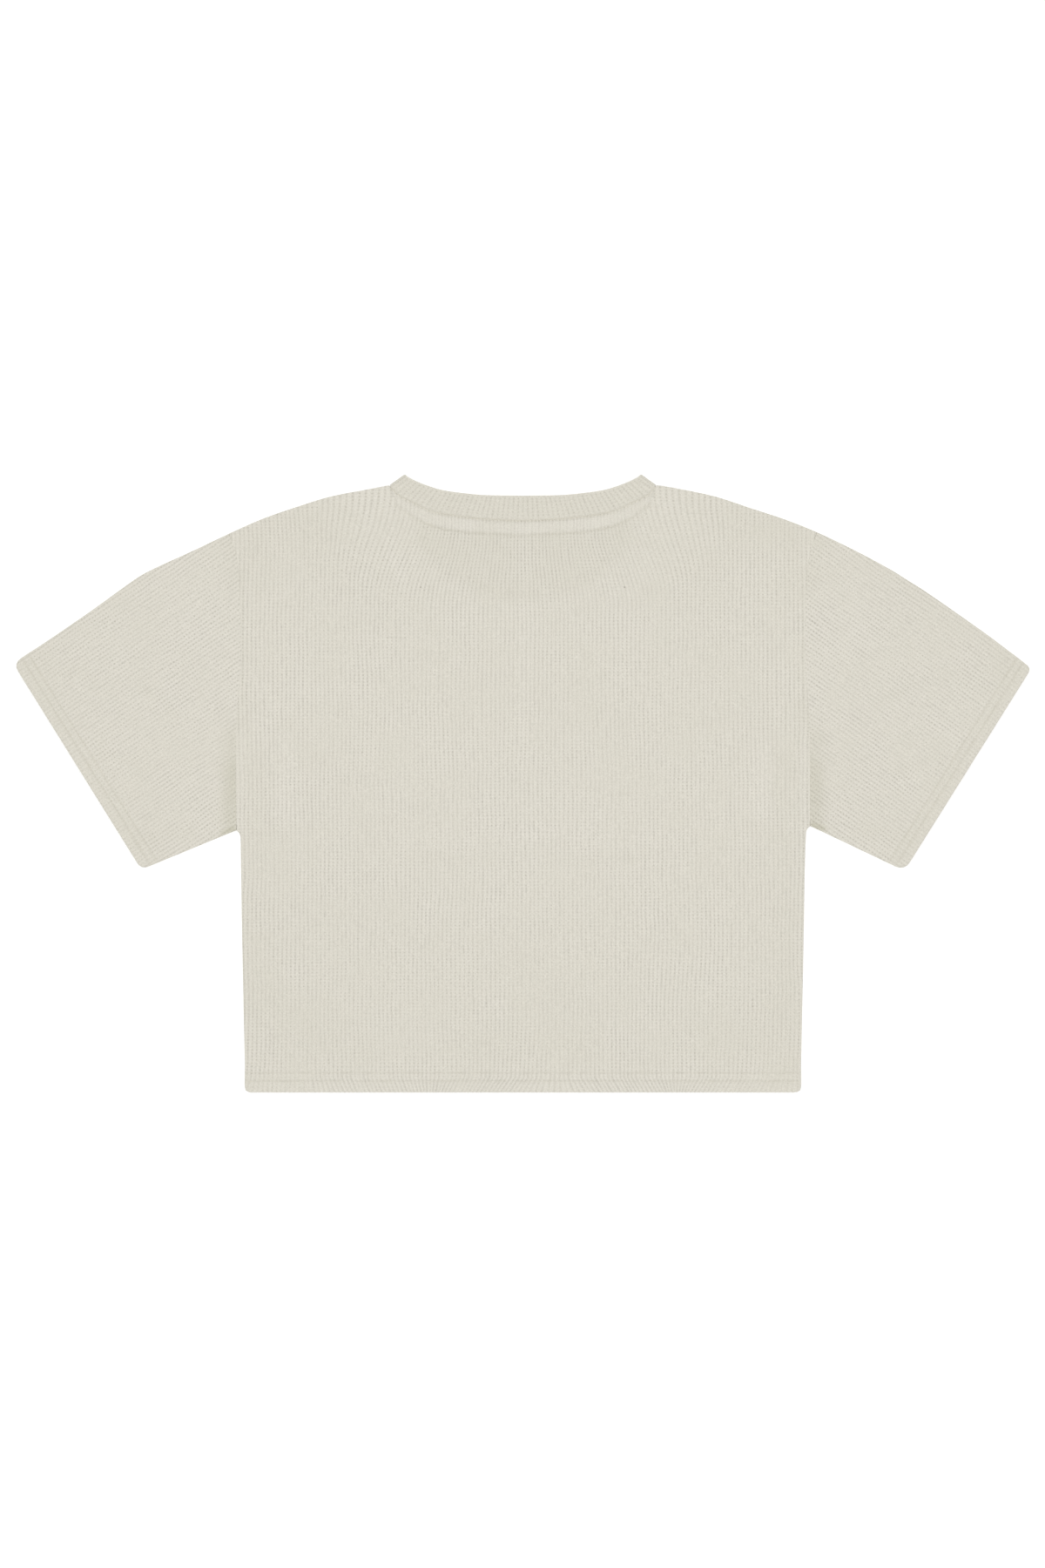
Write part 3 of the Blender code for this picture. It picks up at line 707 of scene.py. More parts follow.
def latticeSpots(core, pitch):
    low, high = core.min(0), core.max(0)
    xs, ys = (np.arange(low[i], high[i], pitch) for i in (0, 1))
    spots = np.stack(np.meshgrid(xs, ys), -1).reshape(-1, 2)
    return spots[fromEdge(spots, core) > pitch * 0.45]


def clothFace(rings, knit=None, lattice=None):
    # a face of the cloth inside its rings: cells of the knit, or a plain lattice where it's hidden
    count, core = len(rings[0]), rings[-1]
    first = len(rings) * count
    here = np.arange(count)
    after = (here + 1) % count
    ring = np.stack([here, after, count + after, count + here], 1)
    quads = [np.zeros((0, 4), int), *(ring + i * count for i in range(len(rings) - 1))]
    if knit:
        spots, cells, grid, rim = knitGrid(core, knit, first)
        quads.append(grid)
        cells = np.vstack([knitCells(np.vstack(rings), knit), cells])
        ids = np.concatenate([here + first - count, np.unique(rim)])
    else:
        spots, cells, rim = latticeSpots(core, lattice), None, []
        ids = np.arange(first - count, first + len(spots))
    points = np.vstack([*rings, spots])
    where = {v: i for i, v in enumerate(ids)}
    fill = triangulate(
        points[ids],
        [(int(a), int(b)) for a, b in zip(here, after)],  # the core comes first in ids
        [(where[a], where[b]) for a, b in rim],
    )
    return points, np.vstack(quads), ids[fill], cells


def smoothedLoop(values, times=3):
    for _ in range(times):
        values = (np.roll(values, 1) + 2 * values + np.roll(values, -1)) / 4
    return values


def settleRings(z, level, insets, width, seam=False):
    # rounds the edge off, or leads it down into a seam
    count = len(level)
    for i, inset in enumerate(insets):
        part = slice(i * count, (i + 1) * count)
        share = min(inset / width, 1)
        rounded = math.sqrt(max(1 - (1 - share) ** 2, 0))
        flat = min(inset / cloth["seamWidth"], 1)
        rise = np.where(seam, flat * (2 - flat), rounded)
        z[part] = mix(level, z[part], rise)
    return z


def layer(flat, z, quads, triangles, facing=1, **fields):
    # one face of the cloth at its height; facing is -1 where it looks down
    shape = {"quads": quads[:, ::facing], "triangles": triangles[:, ::facing]}
    return {"points": np.column_stack([flat, z]), **shape, **fields}


def closedPiece(name, points, polygons):
    mesh = bpy.data.meshes.new(name)
    mesh.from_pydata(points, [], polygons)
    shell = bmesh.new()
    shell.from_mesh(mesh)
    bmesh.ops.recalc_face_normals(shell, faces=shell.faces[:])
    if shell.calc_volume(signed=True) < 0:
        bmesh.ops.reverse_faces(shell, faces=shell.faces[:])
    faulty = sum(len(edge.link_faces) != 2 for edge in shell.edges)
    volume = shell.calc_volume(signed=True) * 1e6
    shell.to_mesh(mesh)
    shell.free()
    mesh.shade_smooth()
    piece = bpy.data.objects.new(name, mesh)
    bpy.context.scene.collection.objects.link(piece)
    mesh.calc_loop_triangles()
    print(f"{name}: {len(mesh.loop_triangles)} triangles, {faulty} faulty edges, {volume:.1f} cm3")
    return piece


# what the finish reads at each point, and its value where a piece gives none
knitFields = {"rib": 0.7, "pit": 0.5, "hemLine": 8.0, "stripLine": -50.0, "shade": 0.0}


def clothMesh(name, faces, extra=(), around=None):
    # joins faces of cloth into one closed piece; around is the number of cells in a ring of cloth
    starts = np.cumsum([0, *(len(face["points"]) for face in faces)])
    points = np.vstack([face["points"] for face in faces])
    cells = np.vstack([face["cells"] for face in faces])
    polygons = [list(p) for p in extra]
    for face, first in zip(faces, starts):
        polygons += (face["quads"] + first).tolist() + (face["triangles"] + first).tolist()
    keys = np.round(points / (0.001 * mm)).astype(np.int64)
    _, keep, same = np.unique(keys, axis=0, return_index=True, return_inverse=True)
    same = same.ravel().tolist()
    polygons = [[same[i] for i in p] for p in polygons]
    polygons = [[v for i, v in enumerate(p) if v != p[i - 1]] for p in polygons]
    polygons = [p for p in polygons if len(p) > 2]
    seen = Counter(frozenset(p) for p in polygons)
    polygons = [p for p in polygons if seen[frozenset(p)] == 1]  # two layers lie in one there
    piece = closedPiece(name, points[keep].tolist(), polygons)
    mesh = piece.data
    mesh.set_sharp_from_angle(angle=math.radians(cloth["sharpAngle"]))
    for label, plain in knitFields.items():
        given = [face.get(label, np.full(len(face["points"]), plain)) for face in faces]
        values = np.concatenate(given)[keep].astype(np.float32)
        mesh.attributes.new(label, "FLOAT", "POINT").data.foreach_set("value", values)
    corner = np.zeros(len(mesh.loops), np.int32)
    mesh.loops.foreach_get("vertex_index", corner)
    places = cells[keep][corner].astype(np.float32)
    if around:
        for polygon in mesh.polygons:
            across = places[polygon.loop_start : polygon.loop_start + polygon.loop_total, 0]
            across[across < across.max() - around / 2] += around
    mesh.uv_layers.new(name="knit").data.foreach_set("uv", places.ravel())
    return piece


def knitStrength(points, fromHem):
    # how strongly ribs and pits show: less in soft patches and on the hem
    onHem = 1 - ease(fromHem, 14 * mm, 17 * mm)
    hemRib = mix(*knitting["hemRib"], ease(np.abs(points[:, 0]), 150 * mm, 195 * mm))
    rib = mix(*knitting["ribRange"], kneadedRib(points, seeds["rib"])) * mix(1, hemRib, onHem)
    pit = mix(*knitting["pitRange"], kneadedRib(points, seeds["pit"]))
    return rib, pit * mix(1, knitting["hemPit"], onHem)


def evened(rib, pit):
    # shade that keeps patches of stronger ribs and pits as pale as the rest
    return -knitting["evenRib"] * (rib - 0.86) - knitting["evenPit"] * (pit - 0.68)


def hemLine(fromHem, rows):
    # 0 at the hem's edge, 1 and 2 on its two rows of stitches
    first, second = rows
    return np.interp(fromHem / mm, (0, first, second, second + 40), (0, 1, 2, 8))


insets = [0, 0.14 * mm, 0.45 * mm, 1.0 * mm, 1.8 * mm]  # rings of points inside an outline
underInset = 1.0 * mm


def ringsOf(loop):
    return [loop, *(inwardRing(loop, inset) for inset in insets[1:])]


def stripShape(points):
    # how far each point is into the raised strip under the collar, from 0 to 1
    strip = np.vstack([backSeam, topstitch[::-1]])
    reach = toLine(points, topstitch)
    within = insideLoop(points, strip)
    fromSeam = toLine(points, backSeam[::2])
    return np.where(within, ease(reach, 0, 2.2 * mm) * ease(fromSeam, 0, 2.6 * mm), 0)


def backPanel():
    loop, kinds = panelOutline(backSeam)
    knit = bodyKnit("back", backSeam, 1)
    flat, quads, triangles, cells = clothFace(ringsOf(loop), knit)
    fromHem = overHem(flat)
    floor = hemFloor(flat, fromHem, bodyCreases)
    strip = stripShape(flat)
    rib, pit = knitStrength(flat, fromHem)
    even = evened(rib, pit)
    pit = pit * (1 - strip)
    for spot in pulledPits:
        away = np.linalg.norm(flat - np.array(spot) * mm, axis=1)
        pit = pit + 2 * np.exp(-((away / (1.4 * mm)) ** 2))
    top = floor + cloth["thick"] * (1 + hemShare(fromHem)) + neck["stripRaise"] * strip
    top -= relief(cells, rib, pit, fromEdge(flat, loop))
    level = edgeLevel(loop, kinds, floor[: len(loop)], top[: len(loop)])
    z = settleRings(top, level, insets, cloth["rim"], isSeam(kinds))
    fromStrip = toLine(flat, topstitch) * np.where(strip > 0, 1, -1) / mm
    inHole = insideLoop(flat, closed(frontEdge))
    # painted shade over the neck hole, fading in from its edge
    holeShadeMask = np.where(inHole, ease(toLine(flat, frontEdge), 0, neck["holeFade"]), 0) * (1 - strip)
    shade = neck["holeShade"] * holeShadeMask + strokes(flat, bodyShadingAndTone, shadingReach) + even
    fields = {
        "rib": rib,
        "pit": pit,
        "hemLine": hemLine(fromHem, body["hemRows"]),
        "stripLine": fromStrip + 0.5 * cloudy(flat, 9 * mm, seeds["strip"]),
        "shade": shade - neck["stripPale"] * strip,
    }
    outer = layer(flat, z, quads, triangles, cells=cells, **fields)

    def underside(points):
        return hemFloor(points, overHem(points), bodyCreases)

    # the wall goes down to the sleeve, and by the underarm to the surface
    onSleeve = upperFloor(loop, sleeveCreases) + cloth["thick"] - armDrop(loop) - 0.2 * mm
    underarms = np.array([sleevePoints(side, "underarm")[0] for side in (left, right)])
    away = np.linalg.norm(loop[:, None] - underarms[None], axis=2).min(1)
    foot = mix(0.9 * cloth["thick"], onSleeve, ease(away, 3 * mm, 14 * mm))
    lowLevel = np.where(kinds == "armhole", np.minimum(level, foot), level)
    under = liningFace(loop, knit, underside, lowLevel, cloth["backLining"])
    first, count = len(flat), len(loop)
    wall = [(i, (i + 1) % count, first + (i + 1) % count, first + i) for i in range(count)]
    return clothMesh("backPanel", [outer, under], wall)


def isSeam(kinds):
    return (kinds == "armhole") | (kinds == "neck")


def bandBackLift(points):
    # the back of the band lies low, and climbs onto its front towards the shoulders
    return cloth["gap"] + 2 * cloth["thick"] * ease(np.abs(points[:, 0]), *neck["bandClimb"])


def armDrop(points):
    # depth of the armhole seam, next to nothing by the underarm
    return cloth["seamDrop"] * mix(0.15, 0.8, ease(points[:, 1], 20 * mm, 110 * mm))


def edgeLevel(loop, kinds, floor, top):
    # height of the back panel's outline
    seam = (floor + cloth["thick"] * (1 + hemShare(overHem(loop)))) / 2
    level = np.where(kinds == "closed", seam, top - armDrop(loop))
    level = np.where(kinds == "hem", mix(floor, top, 0.3), level)
    level = np.where(kinds == "neck", bandBackLift(loop) + 1.1 * cloth["thick"], level)
    return smoothedLoop(level, 2)


def liningFace(loop, knit, height, level, lattice):
    rings = [loop, inwardRing(loop, underInset)]
    flat, quads, triangles, _ = clothFace(rings, lattice=lattice)
    z = settleRings(height(flat), level, [0, underInset], underInset)
    return layer(flat, z, quads, triangles, -1, cells=knitCells(flat, knit))


def frontLift(points):
    # how far the front's underside is off the surface
    edge = fromClosedEdges(points)
    onBand = overBand(points) * (1 - ease(edge, 2.4 * mm, 9.6 * mm))
    folded = foldHeight(points, lowFolds) * ease(edge, 0, 9 * mm)
    return (cloth["thick"] + cloth["gap"]) * onBand + folded


def frontInside(points):
    turned = 1 - ease(overHem(points), cloth["hemDepth"], cloth["hemDepth"] + 1.2 * mm)
    return frontLift(points) + cloth["thick"] * (1 + turned)


def frontPanel():
    loop, kinds = panelOutline(frontSeam)
    knit = bodyKnit("front", frontSeam, -1)
    flat, quads, triangles, cells = clothFace(ringsOf(loop), knit)
    rib, pit = knitStrength(flat, overHem(flat))
    low = frontLift(flat) + relief(cells, rib, pit, fromEdge(flat, loop))
    thick = cloth["thick"]
    seam, hemSeam = (upperFloor(loop) + thick) / 2, 2 * thick + cloth["gap"] / 2
    seam = mix(seam, hemSeam, hemShare(overHem(loop)))
    level = np.where(kinds == "closed", seam, frontLift(loop) + cloth["seamDrop"])
    level = smoothedLoop(np.where(kinds == "hem", thick, level))
    z = settleRings(low, level, insets, cloth["rim"], isSeam(kinds))
    fields = {"rib": rib, "pit": pit, "hemLine": hemLine(overHem(flat), body["hemRows"])}
    outer = layer(flat, z, quads, triangles, cells=cells, shade=evened(rib, pit), **fields)
    inner = liningFace(loop, knit, frontInside, level, cloth["lining"])
    return clothMesh("frontPanel", [outer, inner])


def sleeveTube(side):
    # the outer faces of both layers, and inside them the tube's slit
    loop, kinds = sleeveOutline(side)
    fold = kinds == "fold"
    corner, tip = sleevePoints(side, "corner", "tip")
    across = unit(tip - corner)
    top = sleeveTop(side)
    knit = {"origin": top[0], "along": tuple(unit(top[-1] - top[12])), "warp": sleeveWarp}
    knit.update(wale=sleeves["wale"], row=sleeves["row"])
    thick = cloth["thick"]

    def fromHem(points):
        away = points - corner
        return np.abs(away[:, 0] * across[1] - away[:, 1] * across[0])

    def underTop(points):
        return hemFloor(points, fromHem(points), sleeveCreases)

    def layers(points):
        return thick * (1 + hemShare(fromHem(points)))

    floor = underTop(loop)
    middle = (floor + layers(loop)) / 2
    arm = kinds == "armhole"
    highLevel = np.where(arm, floor + thick - armDrop(loop), floor + layers(loop) / 2)
    lowLevel = np.where(arm, cloth["seamDrop"], layers(loop) / 2)
    highLevel, lowLevel = np.where(fold, middle, highLevel), np.where(fold, middle, lowLevel)
    flat, quads, triangles, cells = clothFace(ringsOf(loop), knit)
    rib, pit = knitStrength(flat, fromHem(flat))
    sunk = relief(cells, rib, pit, fromEdge(flat, loop))
    high = underTop(flat) + layers(flat) - sunk
    low = foldHeight(flat, lowFolds) + sunk
    for z, level in ((high, highLevel), (low, lowLevel)):
        settleRings(z, level, insets, cloth["rim"], isSeam(kinds))
    # painted light and shade of the sleeve's folds and of the underarm dip, with some tone
    shade = strokes(flat, sleeveShadingAndTone, shadingReach) + evened(rib, pit)
    fields = {"cells": cells, "rib": rib, "pit": pit, "shade": shade}
    fields["hemLine"] = hemLine(fromHem(flat), sleeves["hemRows"])
    faces = [
        layer(flat, high, quads, triangles, **fields),
        layer(flat, low, quads, triangles, -1, **fields),
    ]
    slit = inwardRing(loop, np.where(fold, 2 * mm, 0))
    slit[~fold] = loop[~fold]
    flat, quads, triangles, _ = clothFace([slit], lattice=cloth["lining"])
    count = len(loop)
    innerTop, innerLow = underTop(flat), foldHeight(flat, lowFolds) + layers(flat)
    innerTop[:count], innerLow[:count] = highLevel, lowLevel
    inside = {"cells": knitCells(flat, knit)}
    faces += [layer(flat, z, quads, triangles, **inside) for z in (innerTop, innerLow)]
    starts = np.cumsum([0, *(len(face["points"]) for face in faces)])
    ears = []  # close the slit where an opening ends
    for i in np.nonzero(fold)[0]:
        for j in ((i + 1) % count, (i - 1) % count):
            if not fold[j]:
                ears += [(i, j, starts[2] + i), (i, starts[2] + i, starts[1] + j)]
    return clothMesh(sleeves[side]["piece"], faces, ears)


# neck band: a folded strip sewn into a ring, its ribs running across it

band = {
    "ribPitch": 3.95 * mm,  # along the band
    "dotPitch": 2.7 * mm,  # across it
    "acrossSteps": 15,
    "foldAngles": (22.5, 45, 67.5, 90, 112.5, 135, 157.5),
    "width": 20 * mm,
    "turn": 0.93,  # share of the width where the strip folds over
    "rib": 0.8,  # strength of its ribs and pits
    "pit": 0.6,
    "shade": 0.025,  # how much darker the band is
}


def bandStations():
    stations = []
    for seam, edge, turn in ((backSeam, backEdge, 0), (frontSeam[::-1], frontEdge[::-1], 180)):
        middle = (pointsAt(seam, bandShares) + pointsAt(edge, bandShares)) / 2
        ribs = round(alongLine(middle)[-1] / band["ribPitch"])
        shares = np.arange(2 * ribs + 1) / (2 * ribs)
        for a, b in zip(pointsAt(seam, shares), pointsAt(edge, shares)):
            stations.append((a, b, turn, 0))
        side = right if turn == 0 else left
        turns = band["foldAngles"] if turn == 0 else band["foldAngles"][::-1]
        for angle in turns:
            stations.append((foldStart * (side, 1), foldEnd * (side, 1), angle, side))
    return stations


def bandProfile():
    # (share from seam to free edge, height in layers) round the folded strip, outside and inside
    steps, turn = band["acrossSteps"], band["turn"]
    outer = [(-0.03, -0.75), (0.0, 0.12), (0.02, 0.4), (0.045, 0.66)]
    for i in range(1, steps + 1):
        across = i / steps * turn
        rolled = 0.35 * (1 - min(across / 0.13, 1)) ** 2
        outer.append((across, 1 - rolled + 0.08 * math.sin(math.pi * across)))
    for a in np.radians((30, 60, 90, 120, 150)):
        outer.append((turn + (1 - turn) * math.sin(a), math.cos(a)))
    for i in range(steps, -1, -1):
        outer.append((i / steps * turn, -1))
    return outer, [(0.0, -0.06), (0.5, -0.06), (turn, 0.0), (0.5, 0.06), (0.0, 0.06)]


def neckBand():
    stations = bandStations()
    outer, inside = bandProfile()
    thick, gap = cloth["thick"], cloth["gap"]
    points, cells, strengths = [], [], []
    for number, (seam, edge, turn, side) in enumerate(stations):
        for k, (across, layers) in enumerate(outer + inside):
            x, y = mix(seam, edge, across)
            cell = (number / 2, across * band["width"] / band["dotPitch"])
            strength = cut = 0.0
            if k < len(outer):
                strength = ease(across, 0.02, 0.1) * (1 - ease(across, 0.9, 0.97))
                rib, pit = strength * band["rib"], strength * band["pit"]
                cut = relief(np.array([cell]), rib, pit)[0] / thick
            shrunk = layers - math.copysign(cut, layers)
            if side == 0 and turn == 0:
                z = bandBackLift(np.array([[x, y]]))[0] + thick * (1 + shrunk)
            elif side == 0:
                z = max(thick * (1 - shrunk), 0)
            else:  # round the fold at the shoulder
                radius = thick + gap / 2 + thick * min(shrunk, 1)
                out = radius * math.sin(math.radians(turn))
                x, y = x + out * side * foldOut[0], y + out * foldOut[1]
                z = 2 * thick + gap / 2 + radius * math.cos(math.radians(turn))
            points.append((x, y, z))
            cells.append(cell)
            strengths.append(strength)
    size, count = len(outer) + len(inside), len(stations)
    quads = []
    for s in range(count):
        here, after = s * size, (s + 1) % count * size
        for k in range(size):
            j = (k + 1) % size
            quads.append((here + k, here + j, after + j, after + k))
    strengths = np.array(strengths)
    face = {
        "points": np.array(points),
        "quads": np.array(quads),
        "triangles": np.zeros((0, 3), int),
        "cells": np.array(cells),
        "rib": strengths * band["rib"],
        "pit": strengths * band["pit"],
        "shade": np.full(len(points), band["shade"]),
    }
    return clothMesh("neckBand", [face], around=count / 2)


# rows of stitches, laid on the finished cloth

thread = {
    "radius": 0.18 * mm,
    "length": 2.1 * mm,
    "pitch": 2.9 * mm,
    "sink": 0.09 * mm,
    "colour": (0.668, 0.643, 0.568),
    # place along a dash, and its radius there
    "dash": ((-1.0, 0.15), (-0.8, 0.8), (-0.3, 1.0), (0.3, 1.0), (0.8, 0.8), (1.0, 0.15)),
    "sides": 5,
}


def onCloth(piece, points, way):
    # the height of the cloth's face at each point, met from above where way is -1
    faces = [p.vertices for p in piece.data.polygons]
    tree = BVHTree.FromPolygons([v.co for v in piece.data.vertices], faces)
    hits = [tree.ray_cast((x, y, -way), (0, 0, way))[0] for x, y in points]
    return [hit.z if hit else 0.0 for hit in hits]


def stitchRow(piece, line, fromBelow):
    # (points, faces) of one row of dashes along a line on the cloth
    count = int(alongLine(line)[-1] / thread["pitch"])
    shares = (np.arange(count) + 0.5) / count
    half = thread["length"] / 2 / alongLine(line)[-1]
    starts, ends = pointsAt(line, shares - half), pointsAt(line, shares + half)
    outward = -1 if fromBelow else 1
    sides, last = thread["sides"], len(thread["dash"]) - 1
    turns = 2 * math.pi * np.arange(sides) / sides
    points, faces = [], []
    for a, b, height in zip(starts, ends, onCloth(piece, (starts + ends) / 2, -outward)):
        along = (b - a) / 2
        across = unit(np.array([-along[1], along[0]]))
        first = len(points)
        for place, swell in thread["dash"]:
            r = thread["radius"] * swell
            bow = thread["radius"] * 0.9 * (1 - place**2) - thread["sink"]
            for turn in turns:
                x, y = (a + b) / 2 + along * place + across * r * math.cos(turn)
                points.append((x, y, height + outward * (bow + r * math.sin(turn))))
        for ring in range(last):
            low = first + ring * sides
            for k in range(sides):
                j = (k + 1) % sides
                faces.append((low + k, low + j, low + sides + j, low + sides + k))
        faces.append(tuple(first + k for k in range(sides)))
        faces.append(tuple(first + last * sides + k for k in reversed(range(sides))))
    return points, faces


def stitches(name, piece, rows):
    points, faces = [], []
    for line, fromBelow in rows:
        made = stitchRow(piece, line, fromBelow)
        faces += [tuple(i + len(points) for i in face) for face in made[1]]
        points += made[0]
    row = closedPiece(name, points, faces)
    row.data.materials.append(threadMaterial)
    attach(row, "root")
    return row


def bodyHemRows(fromBelow):
    out = body["rowEnd"]
    heights = [(body["hem"] + up) * mm for up in body["hemRows"]]
    return [(np.array([(-out, y), (out, y)]), fromBelow) for y in heights]


def sleeveHemRows(side, fromBelow):
    corner, tip, underarm = sleevePoints(side, "corner", "tip", "underarm")
    lowIn, highIn = unit(underarm - corner), unit(sleeveTop(side)[-4] - tip)
    rows = []
    for up in sleeves["hemRows"]:
        low, high = corner + lowIn * up * mm, tip + highIn * up * mm
        trim = unit(high - low) * sleeves["rowTrim"]
        rows.append((np.array([low + trim, high - trim]), fromBelow))
    return rows


# finishes


def addNode(tree, kind, inputs=(), **settings):
    node = tree.nodes.new(kind)
    for name, value in settings.items():
        setattr(node, name, value)
    for socket, value in dict(inputs).items():
        if isinstance(value, bpy.types.NodeSocket):
            tree.links.new(value, node.inputs[socket])
        else:
            node.inputs[socket].default_value = value
    return node


def maths(tree, operation, *values):
    inputs = dict(enumerate(values))
    return addNode(tree, "ShaderNodeMath", inputs, operation=operation).outputs[0]


def product(tree, first, *others):
    for value in others:
        first = maths(tree, "MULTIPLY", first, value)
    return first


def noise(tree, vector, scale, detail=1.0):
    inputs = {"Vector": vector, "Scale": scale, "Detail": detail}
    return addNode(tree, "ShaderNodeTexNoise", inputs).outputs["Fac"]


def fitted(tree, value, *ends):
    # the value stretched from its first two ends to the last two
    return addNode(tree, "ShaderNodeMapRange", {0: value, **dict(enumerate(ends, 1))}).outputs[0]


def vectorMaths(tree, operation, *values):
    inputs = dict(enumerate(values))
    return addNode(tree, "ShaderNodeVectorMath", inputs, operation=operation).outputs[0]


def scaled(tree, vector, scale):
    inputs = {0: vector, "Scale": scale}
    return addNode(tree, "ShaderNodeVectorMath", inputs, operation="SCALE").outputs[0]


def newGroup(name, inputs, outputs):
    tree = bpy.data.node_groups.new(name, "ShaderNodeTree")
    for label in inputs:
        kind = "NodeSocketVector" if label == "Cells" else "NodeSocketFloat"
        tree.interface.new_socket(label, in_out="INPUT", socket_type=kind)
    for label in outputs:
        tree.interface.new_socket(label, in_out="OUTPUT", socket_type="NodeSocketFloat")
    given, out = tree.nodes.new("NodeGroupInput"), tree.nodes.new("NodeGroupOutput")
    return tree, given.outputs, out.inputs


def waveOf(tree, value):
    # 0 at whole numbers and 1 halfway between them
    turned = maths(tree, "COSINE", product(tree, value, 2 * math.pi))
    return maths(tree, "MULTIPLY_ADD", turned, -0.5, 0.5)


def waffleGroup():
    # the cells: height from 0 on a rib to -1 in a pit, and how much each point is valley or pit
    tree, given, out = newGroup(
        "waffleCells", ("Cells", "Rib", "Pit"), ("Height", "Valley", "Pit", "Stitch")
    )
    u, v, _ = addNode(tree, "ShaderNodeSeparateXYZ", {0: given["Cells"]}).outputs
    across = maths(tree, "POWER", waveOf(tree, u), cloth["valleyNarrow"])
    narrow = maths(tree, "POWER", waveOf(tree, u), cloth["pitNarrow"])
    spot = product(tree, narrow, maths(tree, "POWER", waveOf(tree, v), cloth["pitShort"]))

    def unevenly(scales, low, high):
        # a factor that differs from cell to cell
        stretched = vectorMaths(tree, "MULTIPLY", given["Cells"], scales)
        return fitted(tree, noise(tree, stretched, 1.0), 0.3, 0.7, low, high)

    valley = product(tree, across, given["Rib"], unevenly((0.9, 0.2, 0), *waffle["valleyRange"]))
    pit = product(tree, spot, given["Pit"], unevenly((0.8, 0.7, 0), *waffle["pitRange"]))
    share = cloth["ribDepth"] / (cloth["ribDepth"] + cloth["pitDepth"])
    height = maths(tree, "MULTIPLY_ADD", valley, -share, product(tree, pit, share - 1))
    fromRib = maths(tree, "PINGPONG", u, 0.5)
    chevron = maths(tree, "MULTIPLY_ADD", v, 2.0, product(tree, fromRib, 1.3))
    stitch = product(tree, waveOf(tree, chevron), maths(tree, "SUBTRACT", 1.0, across))
    height = maths(tree, "MULTIPLY_ADD", stitch, -waffle["stitchDepth"], height)
    for label, value in (("Height", height), ("Valley", valley), ("Pit", pit), ("Stitch", stitch)):
        tree.links.new(value, out[label])
    return tree


def lineGroup():
    # the rows where stitches draw the cloth in, two on a hem and one under the strip: a groove in
    # the bump and painted shade in the colour
    tree, given, out = newGroup("stitchLines", ("Hem", "Strip", "Cells"), ("Line",))

    def near(value, place, reach):
        away = maths(tree, "DIVIDE", maths(tree, "SUBTRACT", value, place), reach)
        return maths(tree, "EXPONENT", product(tree, away, away, -1.0))

    hem = maths(tree, "ADD", near(given["Hem"], 1.0, 0.15), near(given["Hem"], 2.0, 0.15))
    both = maths(tree, "MAXIMUM", hem, near(given["Strip"], -0.3, 1.0))
    lineStrength = fitted(tree, noise(tree, given["Cells"], 0.3), 0.35, 0.65, *waffle["lineRange"])
    u = addNode(tree, "ShaderNodeSeparateXYZ", {0: given["Cells"]}).outputs[0]
    dashes = maths(tree, "MULTIPLY_ADD", waveOf(tree, u), 0.45, 0.65)
    tree.links.new(product(tree, both, lineStrength, dashes), out["Line"])
    return tree


waffle = {
    "colour": (0.695, 0.668, 0.592, 1),
    "valleyShadeColour": (0.630, 0.605, 0.531, 1),
    "pitShadeColour": (0.533, 0.507, 0.434, 1),
    "lineShadeColour": (0.630, 0.604, 0.525, 1),
    "shadeTint": (-1.0, -0.98, -1.3),  # what a whole share of shade takes from each colour
    "stitchShade": 0.5,  # share of the valleys' painted shade, between the stitches
    "stitchDepth": 0.16,
    "valleyRange": (0.65, 1.3),  # how much valleys, pits and sewn lines differ from place to place
    "pitRange": (0.5, 1.4),
    "lineRange": (0.45, 1.0),
    "lineDepth": 0.4,
    "clouds": (9.0, 0.012, 0.994),  # scale, strength and lowest tone of a mottle
    "fibres": (900.0, 0.32, 0.84),
    "fuzz": 0.12 * mm,
    "shine": {"Roughness": 0.92, "Sheen Weight": 0.12, "Specular IOR Level": 0.2},
}


def newMaterial(name):
    material = bpy.data.materials.new(name)
    material.use_nodes = True
    return material, material.node_tree, material.node_tree.nodes["Principled BSDF"]


def finish(tree, shader, colour, normal, shine):
    tree.links.new(colour, shader.inputs["Base Color"])
    tree.links.new(normal, shader.inputs["Normal"])
    for socket, value in shine.items():
        shader.inputs[socket].default_value = value


